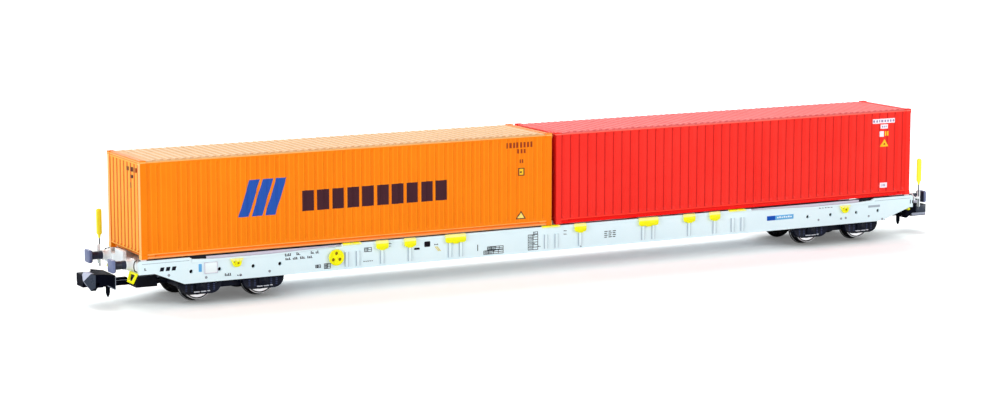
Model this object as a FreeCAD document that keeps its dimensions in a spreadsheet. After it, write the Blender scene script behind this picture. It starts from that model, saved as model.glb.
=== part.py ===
import FreeCAD, Part
import Sketcher
import os
from FreeCAD import Placement, Rotation, Vector

# A 1:160 model of an eighty-foot container flat wagon on two bogies, with two forty-foot
# containers. X runs along the wagon, Y across it and Z up; the wheels stand on Z = 0 and
# the origin is under the middle of the wagon. All sizes are in millimetres.

doc = FreeCAD.newDocument("flat_wagon")
sheet = doc.addObject("Spreadsheet::Sheet", "Sizes")

driving_sizes = (
    # alias, size, what it measures
    ("frame_length", 154.4, "over the two headstocks"),
    ("pivot_spacing", 121.0, "between the bogie pivots"),
    ("wheelbase", 11.2, "between the axles of a bogie"),
    ("seat_height", 8.12, "underside of the containers"),
    # side sills
    ("sill_outside", 7.9, "centre line to the outer face of a sill"),
    ("sill_web", 0.45, "thickness of the sill web"),
    ("sill_foot", 3.62, "underside of the sills"),
    ("sill_crown", 7.72, "top of the sills between the bogies"),
    ("end_foot", 5.72, "underside of the sills at the ends"),
    ("slope_start", 69.3, "where the sill underside starts to rise"),
    ("slope_end", 74.4, "where it is level again"),
    ("crown_end", 41.0, "half length of the high middle of the sills"),
    ("deck_start", 54.0, "where the sill top has come down to the deck"),
    ("deck_height", 7.0, "top of the deck over the bogies"),
    ("deck_end", 65.0, "outer end of the deck over a bogie"),
    ("deck_plate", 0.4, "thickness of the deck plates"),
    ("riser_start", 68.0, "inner end of the raised sill ends"),
    ("riser_height", 7.8, "top of the raised sill ends"),
    ("flange_width", 1.2, "width of the sill flanges"),
    ("flange_thickness", 0.4, "thickness of the sill flanges"),
    ("flange_end", 49.0, "half length of the lower flange"),
    ("rib_width", 0.5, "width of a rib under a container lock"),
    ("rib_depth", 0.2, "how far a rib stands out of the sill"),
    ("rib_foot", 4.1, "lower end of the ribs"),
    ("rib_crown", 6.6, "upper end of the ribs"),
    ("rib_gap", 2.1, "between the two ribs of a wide lock"),
    ("hole_radius", 0.32, "round holes in the sill over the bogies"),
    ("hole_height", 5.6, "height of those holes"),
    # inner frame
    ("beam_width", 1.6, "width of a cross beam"),
    ("beam_foot", 5.5, "underside of the cross beams"),
    ("beam_crown", 7.32, "top of the cross beams"),
    ("girder_half", 1.4, "half width of the centre girder"),
    ("girder_foot", 3.9, "underside of the centre girder"),
    ("girder_end", 49.0, "half length of the centre girder"),
    ("girder_rise", 43.0, "half length of its level underside"),
    ("headstock_depth", 1.6, "thickness of a headstock"),
    ("headstock_crown", 7.6, "top of a headstock"),
    ("stop_half", 1.9, "half width of the stop in front of a container"),
    ("stop_depth", 0.4, "how far the stop stands out of the headstock"),
    ("stop_crown", 8.85, "top of the stop"),
    # buffers
    ("buffer_offset", 5.47, "centre line to a buffer"),
    ("buffer_height", 7.2, "height of the buffers"),
    ("socket_radius", 0.85, "radius of a buffer socket"),
    ("socket_length", 1.4, "length of a buffer socket"),
    ("shank_radius", 0.7, "radius of a buffer shank"),
    ("shank_length", 2.05, "length of a buffer shank"),
    ("head_width", 2.5, "width of a buffer head"),
    ("head_height", 2.2, "height of a buffer head"),
    ("head_corner", 0.45, "corner radius of a buffer head"),
    ("head_thickness", 0.55, "thickness of a buffer head"),
    # brake wheel, locks, steps and handles
    ("wheel_place", -42.1, "where the brake hand wheels are along the wagon"),
    ("wheel_height", 5.85, "height of the hand wheels"),
    ("hand_radius", 1.38, "radius of a hand wheel"),
    ("hand_thickness", 0.35, "thickness of a hand wheel"),
    ("hand_gap", 0.15, "between a hand wheel and the sill"),
    ("shaft_radius", 0.24, "radius of the brake shaft"),
    ("opening_circle", 0.7, "hand wheel's centre to its openings"),
    ("opening_radius", 0.28, "radius of those openings"),
    ("shaft_play", 0.02, "play round the brake shaft"),
    ("lock_depth", 0.55, "how far a lock stands out of the sill"),
    ("lock_foot", 6.62, "underside of a hanging lock"),
    ("lock_crown", 7.95, "top of a lock"),
    ("seat_width", 0.85, "how far the seats reach in under a corner casting"),
    ("bracket_width", 2.3, "width of a lashing bracket"),
    ("bracket_stem", 1.2, "width of its stem"),
    ("bracket_foot", 5.8, "lower end of its stem"),
    ("bracket_bar", 6.65, "underside of its bar"),
    ("bracket_crown", 7.15, "top of its bar"),
    ("bracket_depth", 0.35, "how far it stands out of the sill"),
    ("box_place", 64.8, "label boxes along the wagon"),
    ("box_width", 2.0, "width of a label box"),
    ("box_foot", 5.05, "lower edge of a label box"),
    ("box_crown", 6.95, "upper edge of a label box"),
    ("box_depth", 0.12, "thickness of a label box"),
    ("step_offset", 6.2, "centre line to a corner step"),
    ("step_top", 3.2, "width of a step at its top"),
    ("step_foot", 2.3, "width of its tread"),
    ("step_height", 1.85, "height of a step"),
    ("step_bar", 0.4, "thickness of the step's bars"),
    ("step_lean", 22.0, "degrees that a step leans outwards"),
    ("handle_place", 1.25, "from the headstock to a shunter's handle"),
    ("handle_offset", 7.3, "centre line to a shunter's handle"),
    ("handle_rod", 0.16, "radius of its rod"),
    ("handle_foot", 5.0, "lower end of its rod"),
    ("handle_bracket", 7.3, "height of its bracket"),
    ("paddle_foot", 9.8, "lower end of its paddle"),
    ("paddle_crown", 14.75, "top of its paddle"),
    ("paddle_width", 0.8, "width of its paddle"),
    ("paddle_thickness", 0.36, "thickness of its paddle"),
    # wheelsets
    ("flange_radius", 3.15, "radius of a wheel over its flange"),
    ("tread_radius", 2.65, "radius of a wheel's tread"),
    ("wheel_back", 3.8, "centre line to the back of a wheel"),
    ("wheel_face", 5.6, "centre line to the face of a wheel"),
    ("flange_root", 4.4, "centre line to the start of the tread"),
    ("flange_edge", 0.25, "rounding of the flange"),
    ("tread_slope", 0.1, "how much the tread and the web's edges taper"),
    ("rim_radius", 2.2, "inner radius of the rim"),
    ("hub_radius", 1.05, "radius of the hub"),
    ("web_recess", 0.4, "how far the wheel web lies back"),
    ("axle_radius", 0.7, "radius of an axle"),
    ("journal_radius", 0.3, "radius of an axle's ends"),
    ("journal_play", 0.05, "play round an axle's ends"),
    ("end_play", 0.05, "play at the tips of an axle"),
    # bogies
    ("plate_inside", 5.75, "centre line to the inner face of a side frame"),
    ("plate_outside", 6.2, "centre line to its outer face"),
    ("case_outside", 6.95, "centre line to the outer face of a spring case"),
    ("plate_crown", 3.45, "top of the side frames"),
    ("case_half", 3.7, "half width of a spring case at its top"),
    ("case_flat", 2.05, "half width of its underside"),
    ("case_foot", 1.5, "underside of a spring case"),
    ("case_knee", 3.1, "half width of a spring case at its knee"),
    ("knee_height", 1.95, "height of the knee"),
    ("side_foot", 3.32, "underside of a side frame between the cases"),
    ("horn_half", 0.95, "half width of the bearing over an axle"),
    ("horn_crown", 4.2, "top of a side frame over its axles"),
    ("bolster_half", 1.9, "half width of a bogie bolster"),
    ("bolster_foot", 2.2, "underside of a bogie bolster"),
    ("boss_radius", 1.9, "radius of the pivot boss"),
    ("boss_crown", 5.0, "top of the pivot boss"),
    ("pivot_radius", 1.2, "radius of a pivot pin"),
    ("pivot_play", 0.05, "play round a pivot pin"),
    ("pivot_gap", 0.06, "running gap over and under the bogie"),
    ("screw_radius", 1.9, "radius of a pivot screw's head"),
    ("screw_head", 0.4, "thickness of that head"),
    ("saddle_half", 2.0, "half length of a body bolster"),
    ("saddle_width", 2.6, "half width of a body bolster"),
    ("tail_place", 8.92, "bogie pivot to an end beam"),
    ("tail_depth", 0.38, "thickness of an end beam"),
    ("tail_foot", 2.85, "underside of an end beam"),
    ("cheek_lap", 0.3, "how far the side frames' ends lap the spring cases"),
    # couplers
    ("neck_half", 1.2, "half width of the link to the coupler pocket"),
    ("pocket_start", 11.15, "bogie pivot to the inner end of a pocket"),
    ("pocket_end", 14.9, "bogie pivot to its mouth"),
    ("pocket_half", 1.75, "half width of a pocket"),
    ("pocket_foot", 2.5, "underside of a pocket"),
    ("pocket_crown", 4.3, "top of a pocket"),
    ("pocket_wall", 0.35, "thickness of a pocket's walls"),
    ("coupler_pivot", 12.5, "bogie pivot to the coupler pin"),
    ("coupler_pin", 0.5, "radius of the coupler pin"),
    ("coupler_play", 0.05, "play round the coupler pin"),
    ("coupler_eye", 1.05, "radius of the coupler's eye"),
    ("shank_gap", 0.08, "running gap over and under the shank"),
    ("bar_half", 0.7, "half width of the coupler shank"),
    ("head_start", 6.3, "coupler pin to the back of the head"),
    ("head_knee", 7.2, "coupler pin to the front of the head's foot"),
    ("head_step", 8.6, "coupler pin to the slot in the head"),
    ("slot_end", 9.4, "coupler pin to the front of that slot"),
    ("head_tip", 11.0, "coupler pin to the front of the head"),
    ("head_half", 2.9, "half width of the coupler head"),
    ("head_foot", 2.75, "underside of the coupler head"),
    ("floor_crown", 3.15, "top of the head's bottom bar"),
    ("catch_foot", 3.6, "underside of the catch over that bar"),
    ("catch_neck", 3.95, "top of the bar that carries the catch"),
    ("catch_crown", 5.1, "top of the catch"),
    ("head_back", 5.1, "top of the head at its back"),
    ("head_crown", 5.5, "top of the head at the slot and of the nose"),
    ("nose_inside", 0.5, "centre line to the nose's edge"),
    ("nose_corner", 1.9, "centre line to the nose's upper corner"),
    ("nose_height", 4.1, "height of the nose's edge"),
    ("nose_side", 9.7, "coupler pin to the front of the nose at the side"),
    ("drop_radius", 0.3, "radius of the drop pin"),
    ("drop_foot", 1.1, "lower end of the drop pin"),
    ("drop_place", 6.65, "coupler pin to the drop pin"),
    # containers
    ("box_length", 76.2, "length of a container"),
    ("box_breadth", 15.24, "width of a container"),
    ("box_tall", 16.19, "height of a container"),
    ("box_gap", 0.8, "between the containers"),
    ("casting_length", 1.11, "corner casting along the container"),
    ("casting_breadth", 1.0, "corner casting across it"),
    ("casting_tall", 0.74, "height of a corner casting"),
    ("post_inset", 0.06, "how far posts and rails lie back from the castings"),
    ("rail_foot", 0.06, "underside of the bottom rails"),
    ("rail_tall", 0.85, "top of the bottom rails"),
    ("rail_breadth", 0.4, "thickness of the bottom rails"),
    ("floor_thickness", 0.4, "thickness of the floor"),
    ("crown_tall", 0.42, "height of the top rails"),
    ("wall_thickness", 0.2, "thickness of the wall sheets"),
    ("wall_wave", 0.22, "depth of the wall waves"),
    ("wall_inset", 0.08, "wall sheets back from the rails' faces"),
    ("wall_pitch", 1.74, "pitch of the side wall waves"),
    ("plain_wave", 3, "which groove from each end the side walls leave out"),
    ("front_pitch", 1.55, "pitch of the front wall waves"),
    ("roof_pitch", 1.31, "pitch of the roof waves"),
    ("roof_wave", 0.13, "depth of the roof waves"),
    ("roof_inset", 0.02, "roof sheet below the castings' tops"),
    ("door_thickness", 0.45, "thickness of a door leaf"),
    ("door_inset", 0.25, "door leaves back from the rails' faces"),
    ("door_gap", 0.12, "between the two door leaves"),
    ("rod_radius", 0.12, "radius of a lock rod"),
    ("rod_spread", 1.9, "between the two rods of a door"),
)
for row, (alias, size, note) in enumerate(driving_sizes, 1):
    sheet.set("A%d" % row, note)
    sheet.set("B%d" % row, str(size))
    sheet.setAlias("B%d" % row, alias)
doc.recompute()

nodes = []


def value(expression):
    """Value of an expression over the sheet's aliases, in millimetres."""
    return float(sheet.evalExpression(expression))


def node(thing, label):
    """Give an object the name under which it is handed over."""
    thing.Label = label
    nodes.append(thing)
    return thing


def bind(thing, **links):
    """Bind properties to expressions; a double underscore stands for a dot."""
    for name, expression in links.items():
        thing.setExpression(name.replace("__", "."), expression)
    return thing


def place(thing, x="0", y="0", z="0", turn=0, axis=Vector(0, 0, 1)):
    """Turn an object about an axis, then bind its place to expressions."""
    thing.Placement = Placement(Vector(0, 0, 0), Rotation(axis, turn))
    return bind(thing, Placement__Base__x=x, Placement__Base__y=y, Placement__Base__z=z)


def pin(sketch, geometry, position, constraint, axis, expression):
    """Fix one coordinate of a sketch point to an expression."""
    size = value(expression)
    if abs(size) < 1e-9:
        sketch.addConstraint(Sketcher.Constraint("PointOnObject", geometry, position, axis))
        return
    ends = (-1, 1, geometry, position) if size > 0 else (geometry, position, -1, 1)
    index = sketch.addConstraint(Sketcher.Constraint(constraint, *ends, abs(size)))
    sign = "" if size > 0 else "-"
    sketch.setExpression("Constraints[%d]" % index, "%s(%s)" % (sign, expression))


def draw(sketch, loop):
    """Draw one closed loop: corners as (across, up), or a circle as (across, up, radius)."""
    first = sketch.GeometryCount
    if isinstance(loop, tuple):
        across, up, radius = loop
        centre = Vector(value(across), value(up), 0)
        sketch.addGeometry(Part.Circle(centre, Vector(0, 0, 1), value(radius)), False)
        pin(sketch, first, 3, "DistanceX", -2, across)
        pin(sketch, first, 3, "DistanceY", -1, up)
        index = sketch.addConstraint(Sketcher.Constraint("Radius", first, value(radius)))
        sketch.setExpression("Constraints[%d]" % index, radius)
        return
    corners = [Vector(value(across), value(up), 0) for across, up in loop]
    count = len(corners)
    for i in range(count):
        sketch.addGeometry(Part.LineSegment(corners[i], corners[(i + 1) % count]), False)
    for i in range(count):
        follower = first + (i + 1) % count
        sketch.addConstraint(Sketcher.Constraint("Coincident", first + i, 2, follower, 1))
    for i, (across, up) in enumerate(loop):
        pin(sketch, first + i, 1, "DistanceX", -2, across)
        pin(sketch, first + i, 1, "DistanceY", -1, up)


def sketch_on(body, plane, offset, loops):
    """Sketch closed loops on one of a body's own origin planes, at an offset along it."""
    sketch = body.newObject("Sketcher::SketchObject", "outline")
    origin = [item for item in body.Origin.OriginFeatures if item.Role == plane + "_Plane"]
    sketch.AttachmentSupport = [(origin[0], "")]
    sketch.MapMode = "FlatFace"
    sketch.setExpression("AttachmentOffset.Base.z", offset)
    for loop in loops:
        draw(sketch, loop)
    return sketch


def pad(body, plane, low, high, *loops):
    """Pad loops between two levels along the plane's own axis (XY: Z, XZ: Y, YZ: X)."""
    offset = "-(%s)" % high if plane == "XZ" else low
    feature = body.newObject("PartDesign::Pad", "pad")
    feature.Profile = sketch_on(body, plane, offset, loops)
    bind(feature, Length="(%s) - (%s)" % (high, low))
    doc.recompute()
    return feature


def pocket(body, plane, low, high, *loops):
    """Cut loops out of a body between two levels, and make sure that something was cut."""
    offset = "-(%s)" % low if plane == "XZ" else high
    before = body.Shape.Volume
    feature = body.newObject("PartDesign::Pocket", "cut")
    feature.Profile = sketch_on(body, plane, offset, loops)
    bind(feature, Length="(%s) - (%s)" % (high, low))
    doc.recompute()
    if not body.Shape.Volume < before - 1e-6:
        raise RuntimeError("a pocket in %s cuts nothing" % body.Name)
    return feature


def new_body(name):
    return doc.addObject("PartDesign::Body", name)


def box(name, x, y, z):
    """A block between pairs of expressions along X, Y and Z."""
    block = doc.addObject("Part::Box", name)
    bind(block, Length="(%s) - (%s)" % (x[1], x[0]), Width="(%s) - (%s)" % (y[1], y[0]),
         Height="(%s) - (%s)" % (z[1], z[0]))
    return place(block, x[0], y[0], z[0])


def cylinder(name, axis, x, y, z, radius, length):
    """A round bar that starts at (x, y, z) and runs along +X, +Y or +Z."""
    bar = doc.addObject("Part::Cylinder", name)
    bind(bar, Radius=radius, Height=length)
    turn, about = {"X": (90, Vector(0, 1, 0)), "Y": (-90, Vector(1, 0, 0)),
                   "Z": (0, Vector(0, 0, 1))}[axis]
    return place(bar, x, y, z, turn, about)


def fuse(name, *things):
    joined = doc.addObject("Part::MultiFuse", name)
    joined.Shapes = list(things)
    return joined


def group(name, *things):
    """Several solids that don't touch, kept as one object."""
    bundle = doc.addObject("Part::Compound", name)
    bundle.Links = list(things)
    return bundle


def mirror(name, thing, normal):
    """A copy of an object on the other side of the plane through the origin."""
    copy = doc.addObject("Part::Mirroring", name)
    copy.Source = thing
    copy.Normal = normal
    return copy


ACROSS = Vector(0, 1, 0)
ALONG = Vector(1, 0, 0)
ends = (("front", 0), ("rear", 180))

# ---------------------------------------------------------------- container locks
# place along the wagon, kind: "hung" locks cover one rib, "wide" ones two ribs, and
# "laid" ones lie on top of the sill over two ribs and carry a container
locks = (
    (-39.1, 3.4, "laid"),
    (-33.55, 2.3, "hung"),
    (-28.3, 2.2, "hung"),
    (-19.6, 3.9, "wide"),
    (-0.75, 3.6, "laid"),
    (5.05, 2.35, "hung"),
    (19.05, 3.95, "wide"),
    (27.6, 2.4, "hung"),
    (33.0, 2.2, "hung"),
    (37.95, 3.6, "laid"),
)
# round holes in the sill web over the bogies, along the wagon
hole_places = (-68.1, -63.1, -57.1, -52.3, 53.4, 58.5, 64.3, 69.2)

# lashing brackets, along the wagon
bracket_places = (-60.1, 61.6)

inner_web = "(Sizes.sill_outside - Sizes.sill_web)"
frame_end = "(Sizes.frame_length / 2)"


def both_ways(half):
    """Close a half outline, drawn from the low middle outwards and back, with its mirror."""
    other = [("-(%s)" % across, up) for across, up in reversed(half)]
    return list(half) + other


def side_sill():
    """The sill on the -Y side: a web with ribs outside."""
    sill = new_body("sill")
    pad(sill, "XZ", "-Sizes.sill_outside", "-" + inner_web, both_ways([
        ("Sizes.slope_start", "Sizes.sill_foot"),
        ("Sizes.slope_end", "Sizes.end_foot"),
        (frame_end, "Sizes.end_foot"),
        (frame_end, "Sizes.riser_height"),
        ("Sizes.riser_start", "Sizes.riser_height"),
        ("Sizes.riser_start", "Sizes.deck_height"),
        ("Sizes.deck_start", "Sizes.deck_height"),
        ("Sizes.crown_end", "Sizes.sill_crown")]))
    ribs = []
    for along, width, kind in locks:
        shifts = ("0",) if kind == "hung" else ("-Sizes.rib_gap / 2", "Sizes.rib_gap / 2")
        for shift in shifts:
            left = "%s + %s - Sizes.rib_width / 2" % (along, shift)
            right = "%s + %s + Sizes.rib_width / 2" % (along, shift)
            ribs.append([(left, "Sizes.rib_foot"), (right, "Sizes.rib_foot"),
                         (right, "Sizes.rib_crown"), (left, "Sizes.rib_crown")])
    pad(sill, "XZ", "-(Sizes.sill_outside + Sizes.rib_depth)", "-Sizes.sill_outside", *ribs)
    holes = [(str(along), "Sizes.hole_height", "Sizes.hole_radius") for along in hole_places]
    holes.append(("Sizes.wheel_place", "Sizes.wheel_height",
                  "Sizes.shaft_radius + Sizes.shaft_play"))
    pocket(sill, "XZ", "-Sizes.sill_outside", "-" + inner_web, *holes)
    return sill


right_sill = node(side_sill(), "side_sill_right")
node(mirror("sill_copy", right_sill, ACROSS), "side_sill_left")

flange_levels = (
    # half length, underside
    ("Sizes.flange_end", "Sizes.sill_foot"),
    ("Sizes.crown_end", "Sizes.sill_crown - Sizes.flange_thickness"),
)
flanges = []
for half, low in flange_levels:
    flange = box("flange", ("-" + half, half),
                 ("-" + inner_web, "-(%s - Sizes.flange_width)" % inner_web),
                 (low, low + " + Sizes.flange_thickness"))
    flanges += [flange, mirror("flange_copy", flange, ACROSS)]
node(group("flanges", *flanges), "sill_flanges")

# ---------------------------------------------------------------- inner frame
beam_span = ("-" + inner_web, inner_web)
spare_beam = -10.2   # place of the one cross beam that carries no lock
beams = []
for along in [lock[0] for lock in locks] + [spare_beam]:
    half = "Sizes.beam_width / 2"
    beams.append(box("beam", ("%s - %s" % (along, half), "%s + %s" % (along, half)), beam_span,
                     ("Sizes.beam_foot", "Sizes.beam_crown")))
node(group("beams", *beams), "cross_beams")

girder = new_body("girder")
pad(girder, "XZ", "-Sizes.girder_half", "Sizes.girder_half", both_ways([
    ("Sizes.girder_rise", "Sizes.girder_foot"),
    ("Sizes.girder_end", "Sizes.beam_foot - Sizes.flange_thickness"),
    ("Sizes.girder_end", "Sizes.beam_foot")]))
node(girder, "centre_girder")

deck_low = "Sizes.deck_height - Sizes.deck_plate"
pivot_x = "(Sizes.pivot_spacing / 2)"
decks, bolsters, screws = [], [], []
for end, turn in ends:
    plate = box("plate", ("Sizes.crown_end", "Sizes.deck_end"), beam_span,
                (deck_low, "Sizes.deck_height"))
    tie_start = "Sizes.girder_end - Sizes.beam_width"
    tie = box("tie", (tie_start, "Sizes.girder_end"), beam_span, ("Sizes.beam_foot", deck_low))
    decks.append(place(group("deck", fuse("deck_and_tie", plate, tie)), turn=turn))

    saddle_foot = "Sizes.boss_crown + Sizes.pivot_gap"
    saddle = box("saddle", (pivot_x + " - Sizes.saddle_half", pivot_x + " + Sizes.saddle_half"),
                 ("-Sizes.saddle_width", "Sizes.saddle_width"), (saddle_foot, deck_low))
    stem = cylinder("stem", "Z", pivot_x, "0", "Sizes.bolster_foot", "Sizes.pivot_radius",
                    "%s - Sizes.bolster_foot" % deck_low)
    bolsters.append(place(group("bolster", fuse("saddle_and_pin", saddle, stem)), turn=turn))

    screw_low = "Sizes.bolster_foot - Sizes.pivot_gap - Sizes.screw_head"
    flat = cylinder("flat", "Z", pivot_x, "0", screw_low, "Sizes.screw_radius",
                    "Sizes.screw_head")
    neck = cylinder("neck", "Z", pivot_x, "0", screw_low, "Sizes.pivot_radius",
                    "Sizes.screw_head + Sizes.pivot_gap")
    screws.append(place(group("screw", fuse("screw_and_neck", flat, neck)), turn=turn))
node(group("decks", *decks), "bogie_decks")
node(group("bolsters", *bolsters), "body_bolsters")
node(group("screws", *screws), "pivot_screws")

# ---------------------------------------------------------------- ends of the frame
all_sockets, all_buffers, all_steps, handles = [], [], [], []
for end, turn in ends:
    beam = new_body("headstock")
    inner = frame_end + " - Sizes.headstock_depth"
    pad(beam, "XZ", "-" + inner_web, inner_web, [
        (inner, "Sizes.end_foot"), (frame_end, "Sizes.end_foot"),
        (frame_end, "Sizes.headstock_crown"),
        ("Sizes.riser_start", "Sizes.headstock_crown"),
        ("Sizes.riser_start", "Sizes.headstock_crown - Sizes.deck_plate"),
        (inner, "Sizes.headstock_crown - Sizes.deck_plate")])
    stop_inner = frame_end + " - Sizes.stop_depth / 2"
    stop_outer = frame_end + " + Sizes.stop_depth"
    seat_outer = "(Sizes.box_length + Sizes.box_gap / 2)"
    pad(beam, "YZ", stop_inner, stop_outer, [
        ("-Sizes.stop_half", "Sizes.end_foot"), ("Sizes.stop_half", "Sizes.end_foot"),
        ("Sizes.stop_half", "Sizes.stop_crown"), ("-Sizes.stop_half", "Sizes.stop_crown")])
    seats = []
    for side in ("-", ""):
        seat_inside = "%s(%s - Sizes.seat_width)" % (side, inner_web)
        seats.append([(inner, seat_inside), (seat_outer, seat_inside),
                      (seat_outer, side + inner_web), (inner, side + inner_web)])
    pad(beam, "XY", "Sizes.headstock_crown", "Sizes.seat_height", *seats)
    node(place(beam, turn=turn), "headstock_" + end)

    sockets, shanks = [], []
    head_place = frame_end + " + Sizes.socket_length + Sizes.shank_length"
    for side in ("-", ""):
        offset = side + "Sizes.buffer_offset"
        sockets.append(cylinder("socket", "X", frame_end, offset, "Sizes.buffer_height",
                                "Sizes.socket_radius", "Sizes.socket_length"))
        buffer = new_body("buffer")
        pad(buffer, "YZ", frame_end + " + Sizes.socket_length", head_place,
            (offset, "Sizes.buffer_height", "Sizes.shank_radius"))
        left = offset + " - Sizes.head_width / 2"
        right = offset + " + Sizes.head_width / 2"
        foot = "Sizes.buffer_height - Sizes.head_height / 2"
        crown = "Sizes.buffer_height + Sizes.head_height / 2"
        corner = "Sizes.head_corner"
        pad(buffer, "YZ", head_place, head_place + " + Sizes.head_thickness", [
            ("%s + %s" % (left, corner), foot), ("%s - %s" % (right, corner), foot),
            (right, "%s + %s" % (foot, corner)), (right, "%s - %s" % (crown, corner)),
            ("%s - %s" % (right, corner), crown), ("%s + %s" % (left, corner), crown),
            (left, "%s - %s" % (crown, corner)), (left, "%s + %s" % (foot, corner))])
        shanks.append(buffer)
    all_sockets.append(place(group("sockets", *sockets), turn=turn))
    all_buffers.append(place(group("shanks", *shanks), turn=turn))

    steps = []
    for side in ("-", ""):
        step = new_body("step")
        bar = "Sizes.step_bar"
        top, foot = "Sizes.step_top / 2", "Sizes.step_foot / 2"
        outer = [("-" + top, "0"), (top, "0"), (foot, "-Sizes.step_height"),
                 ("-" + foot, "-Sizes.step_height")]
        inside_top, inside_foot = "(%s - %s)" % (top, bar), "(%s - %s)" % (foot, bar)
        inner_foot = "-Sizes.step_height + %s" % bar
        hollow = [("-" + inside_top, "-" + bar), (inside_top, "-" + bar),
                  (inside_foot, inner_foot), ("-" + inside_foot, inner_foot)]
        pad(step, "YZ", "0", bar, outer, hollow)
        place(step, frame_end, side + "Sizes.step_offset", "Sizes.end_foot + Sizes.step_bar / 2")
        step.Placement = Placement(step.Placement.Base, Rotation(ACROSS, -value("Sizes.step_lean")))
        steps.append(step)
    all_steps.append(place(group("steps", *steps), turn=turn))

    rod_x = frame_end + " + Sizes.handle_place"
    rod = cylinder("rod", "Z", rod_x, "-Sizes.handle_offset", "Sizes.handle_foot",
                   "Sizes.handle_rod", "Sizes.paddle_foot - Sizes.handle_foot")
    arm = cylinder("arm", "X", frame_end, "-Sizes.handle_offset", "Sizes.handle_bracket",
                   "Sizes.handle_rod", "Sizes.handle_place")
    paddle = new_body("paddle")
    half, narrow = "Sizes.paddle_width / 2", "Sizes.handle_rod"
    pad(paddle, "XZ", "-Sizes.paddle_thickness / 2", "Sizes.paddle_thickness / 2", [
        ("-" + narrow, "Sizes.paddle_foot"), (narrow, "Sizes.paddle_foot"),
        (half, "Sizes.paddle_foot + Sizes.paddle_width"),
        (half, "Sizes.paddle_crown - " + half), (narrow, "Sizes.paddle_crown"),
        ("-" + narrow, "Sizes.paddle_crown"), ("-" + half, "Sizes.paddle_crown - " + half),
        ("-" + half, "Sizes.paddle_foot + Sizes.paddle_width")])
    place(paddle, rod_x, "-Sizes.handle_offset")
    handles.append(place(group("handle", fuse("rod_arm_paddle", rod, arm, paddle)), turn=turn))
node(group("all_sockets", *all_sockets), "buffer_sockets")
node(group("all_buffers", *all_buffers), "buffers")
node(group("all_steps", *all_steps), "corner_steps")
node(group("handles", *handles), "shunter_handles")

# ---------------------------------------------------------------- fittings on the sills
sill_face = "-Sizes.sill_outside"
fittings = []
for along, width, kind in locks:
    span = ("%s - %s / 2" % (along, width), "%s + %s / 2" % (along, width))
    if kind == "laid":
        inside = "-(%s - Sizes.seat_width)" % inner_web
        fittings.append(box("laid_lock", span, (sill_face + " - Sizes.rib_depth", inside),
                            ("Sizes.sill_crown", "Sizes.seat_height")))
        continue
    fittings.append(box("hung_lock", span, (sill_face + " - Sizes.lock_depth", sill_face),
                        ("Sizes.lock_foot", "Sizes.lock_crown")))
right_locks = node(group("locks", *fittings), "container_locks_right")
node(mirror("locks_copy", right_locks, ACROSS), "container_locks_left")

brackets = []
for centre in bracket_places:
    bracket = new_body("bracket")
    bar, stem = "Sizes.bracket_width / 2", "Sizes.bracket_stem / 2"
    pad(bracket, "XZ", sill_face + " - Sizes.bracket_depth", sill_face, [
        ("%s - %s" % (centre, stem), "Sizes.bracket_foot"),
        ("%s + %s" % (centre, stem), "Sizes.bracket_foot"),
        ("%s + %s" % (centre, stem), "Sizes.bracket_bar"),
        ("%s + %s" % (centre, bar), "Sizes.bracket_bar"),
        ("%s + %s" % (centre, bar), "Sizes.bracket_crown"),
        ("%s - %s" % (centre, bar), "Sizes.bracket_crown"),
        ("%s - %s" % (centre, bar), "Sizes.bracket_bar"),
        ("%s - %s" % (centre, stem), "Sizes.bracket_bar")])
    brackets += [bracket, mirror("bracket_copy", bracket, ACROSS)]
node(group("brackets", *brackets), "lashing_brackets")

label_box = box("label_box", ("-Sizes.box_place - Sizes.box_width / 2",
                              "-Sizes.box_place + Sizes.box_width / 2"),
                (sill_face + " - Sizes.box_depth", sill_face), ("Sizes.box_foot", "Sizes.box_crown"))
label_copy = group("label_copy", label_box)
place(label_copy, turn=180)
node(group("label_boxes", label_box, label_copy), "label_boxes")

hand_wheel = new_body("hand_wheel")
wheel_outer = "Sizes.sill_outside + Sizes.hand_gap + Sizes.hand_thickness"
wheel_inner = "Sizes.sill_outside + Sizes.hand_gap"
pad(hand_wheel, "XZ", "-(%s)" % wheel_outer, "-(%s)" % wheel_inner,
    ("Sizes.wheel_place", "Sizes.wheel_height", "Sizes.hand_radius"))
openings = []
for turn in (90, 210, 330):
    across = "Sizes.wheel_place + Sizes.opening_circle * cos(%d deg)" % turn
    up = "Sizes.wheel_height + Sizes.opening_circle * sin(%d deg)" % turn
    openings.append((across, up, "Sizes.opening_radius"))
pocket(hand_wheel, "XZ", "-(%s)" % wheel_outer, "-(%s)" % wheel_inner, *openings)
node(group("hand_wheels", hand_wheel, mirror("hand_copy", hand_wheel, ACROSS)), "hand_wheels")
node(cylinder("shaft", "Y", "Sizes.wheel_place", "-(%s)" % wheel_inner, "Sizes.wheel_height",
              "Sizes.shaft_radius", "2 * (%s)" % wheel_inner), "brake_shaft")

# ---------------------------------------------------------------- wheelsets
wheel = new_body("wheel")
wheel_outline = (
    # radius, distance from the centre line
    ("Sizes.axle_radius", "Sizes.wheel_back"),
    ("Sizes.flange_radius - Sizes.flange_edge", "Sizes.wheel_back"),
    ("Sizes.flange_radius", "Sizes.wheel_back + Sizes.flange_edge"),
    ("Sizes.tread_radius + Sizes.tread_slope", "Sizes.flange_root"),
    ("Sizes.tread_radius", "Sizes.wheel_face"),
    ("Sizes.rim_radius", "Sizes.wheel_face"),
    ("Sizes.rim_radius - Sizes.tread_slope", "Sizes.wheel_face - Sizes.web_recess"),
    ("Sizes.hub_radius + Sizes.tread_slope", "Sizes.wheel_face - Sizes.web_recess"),
    ("Sizes.hub_radius", "Sizes.wheel_face"),
    ("Sizes.axle_radius", "Sizes.wheel_face"),
)


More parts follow.
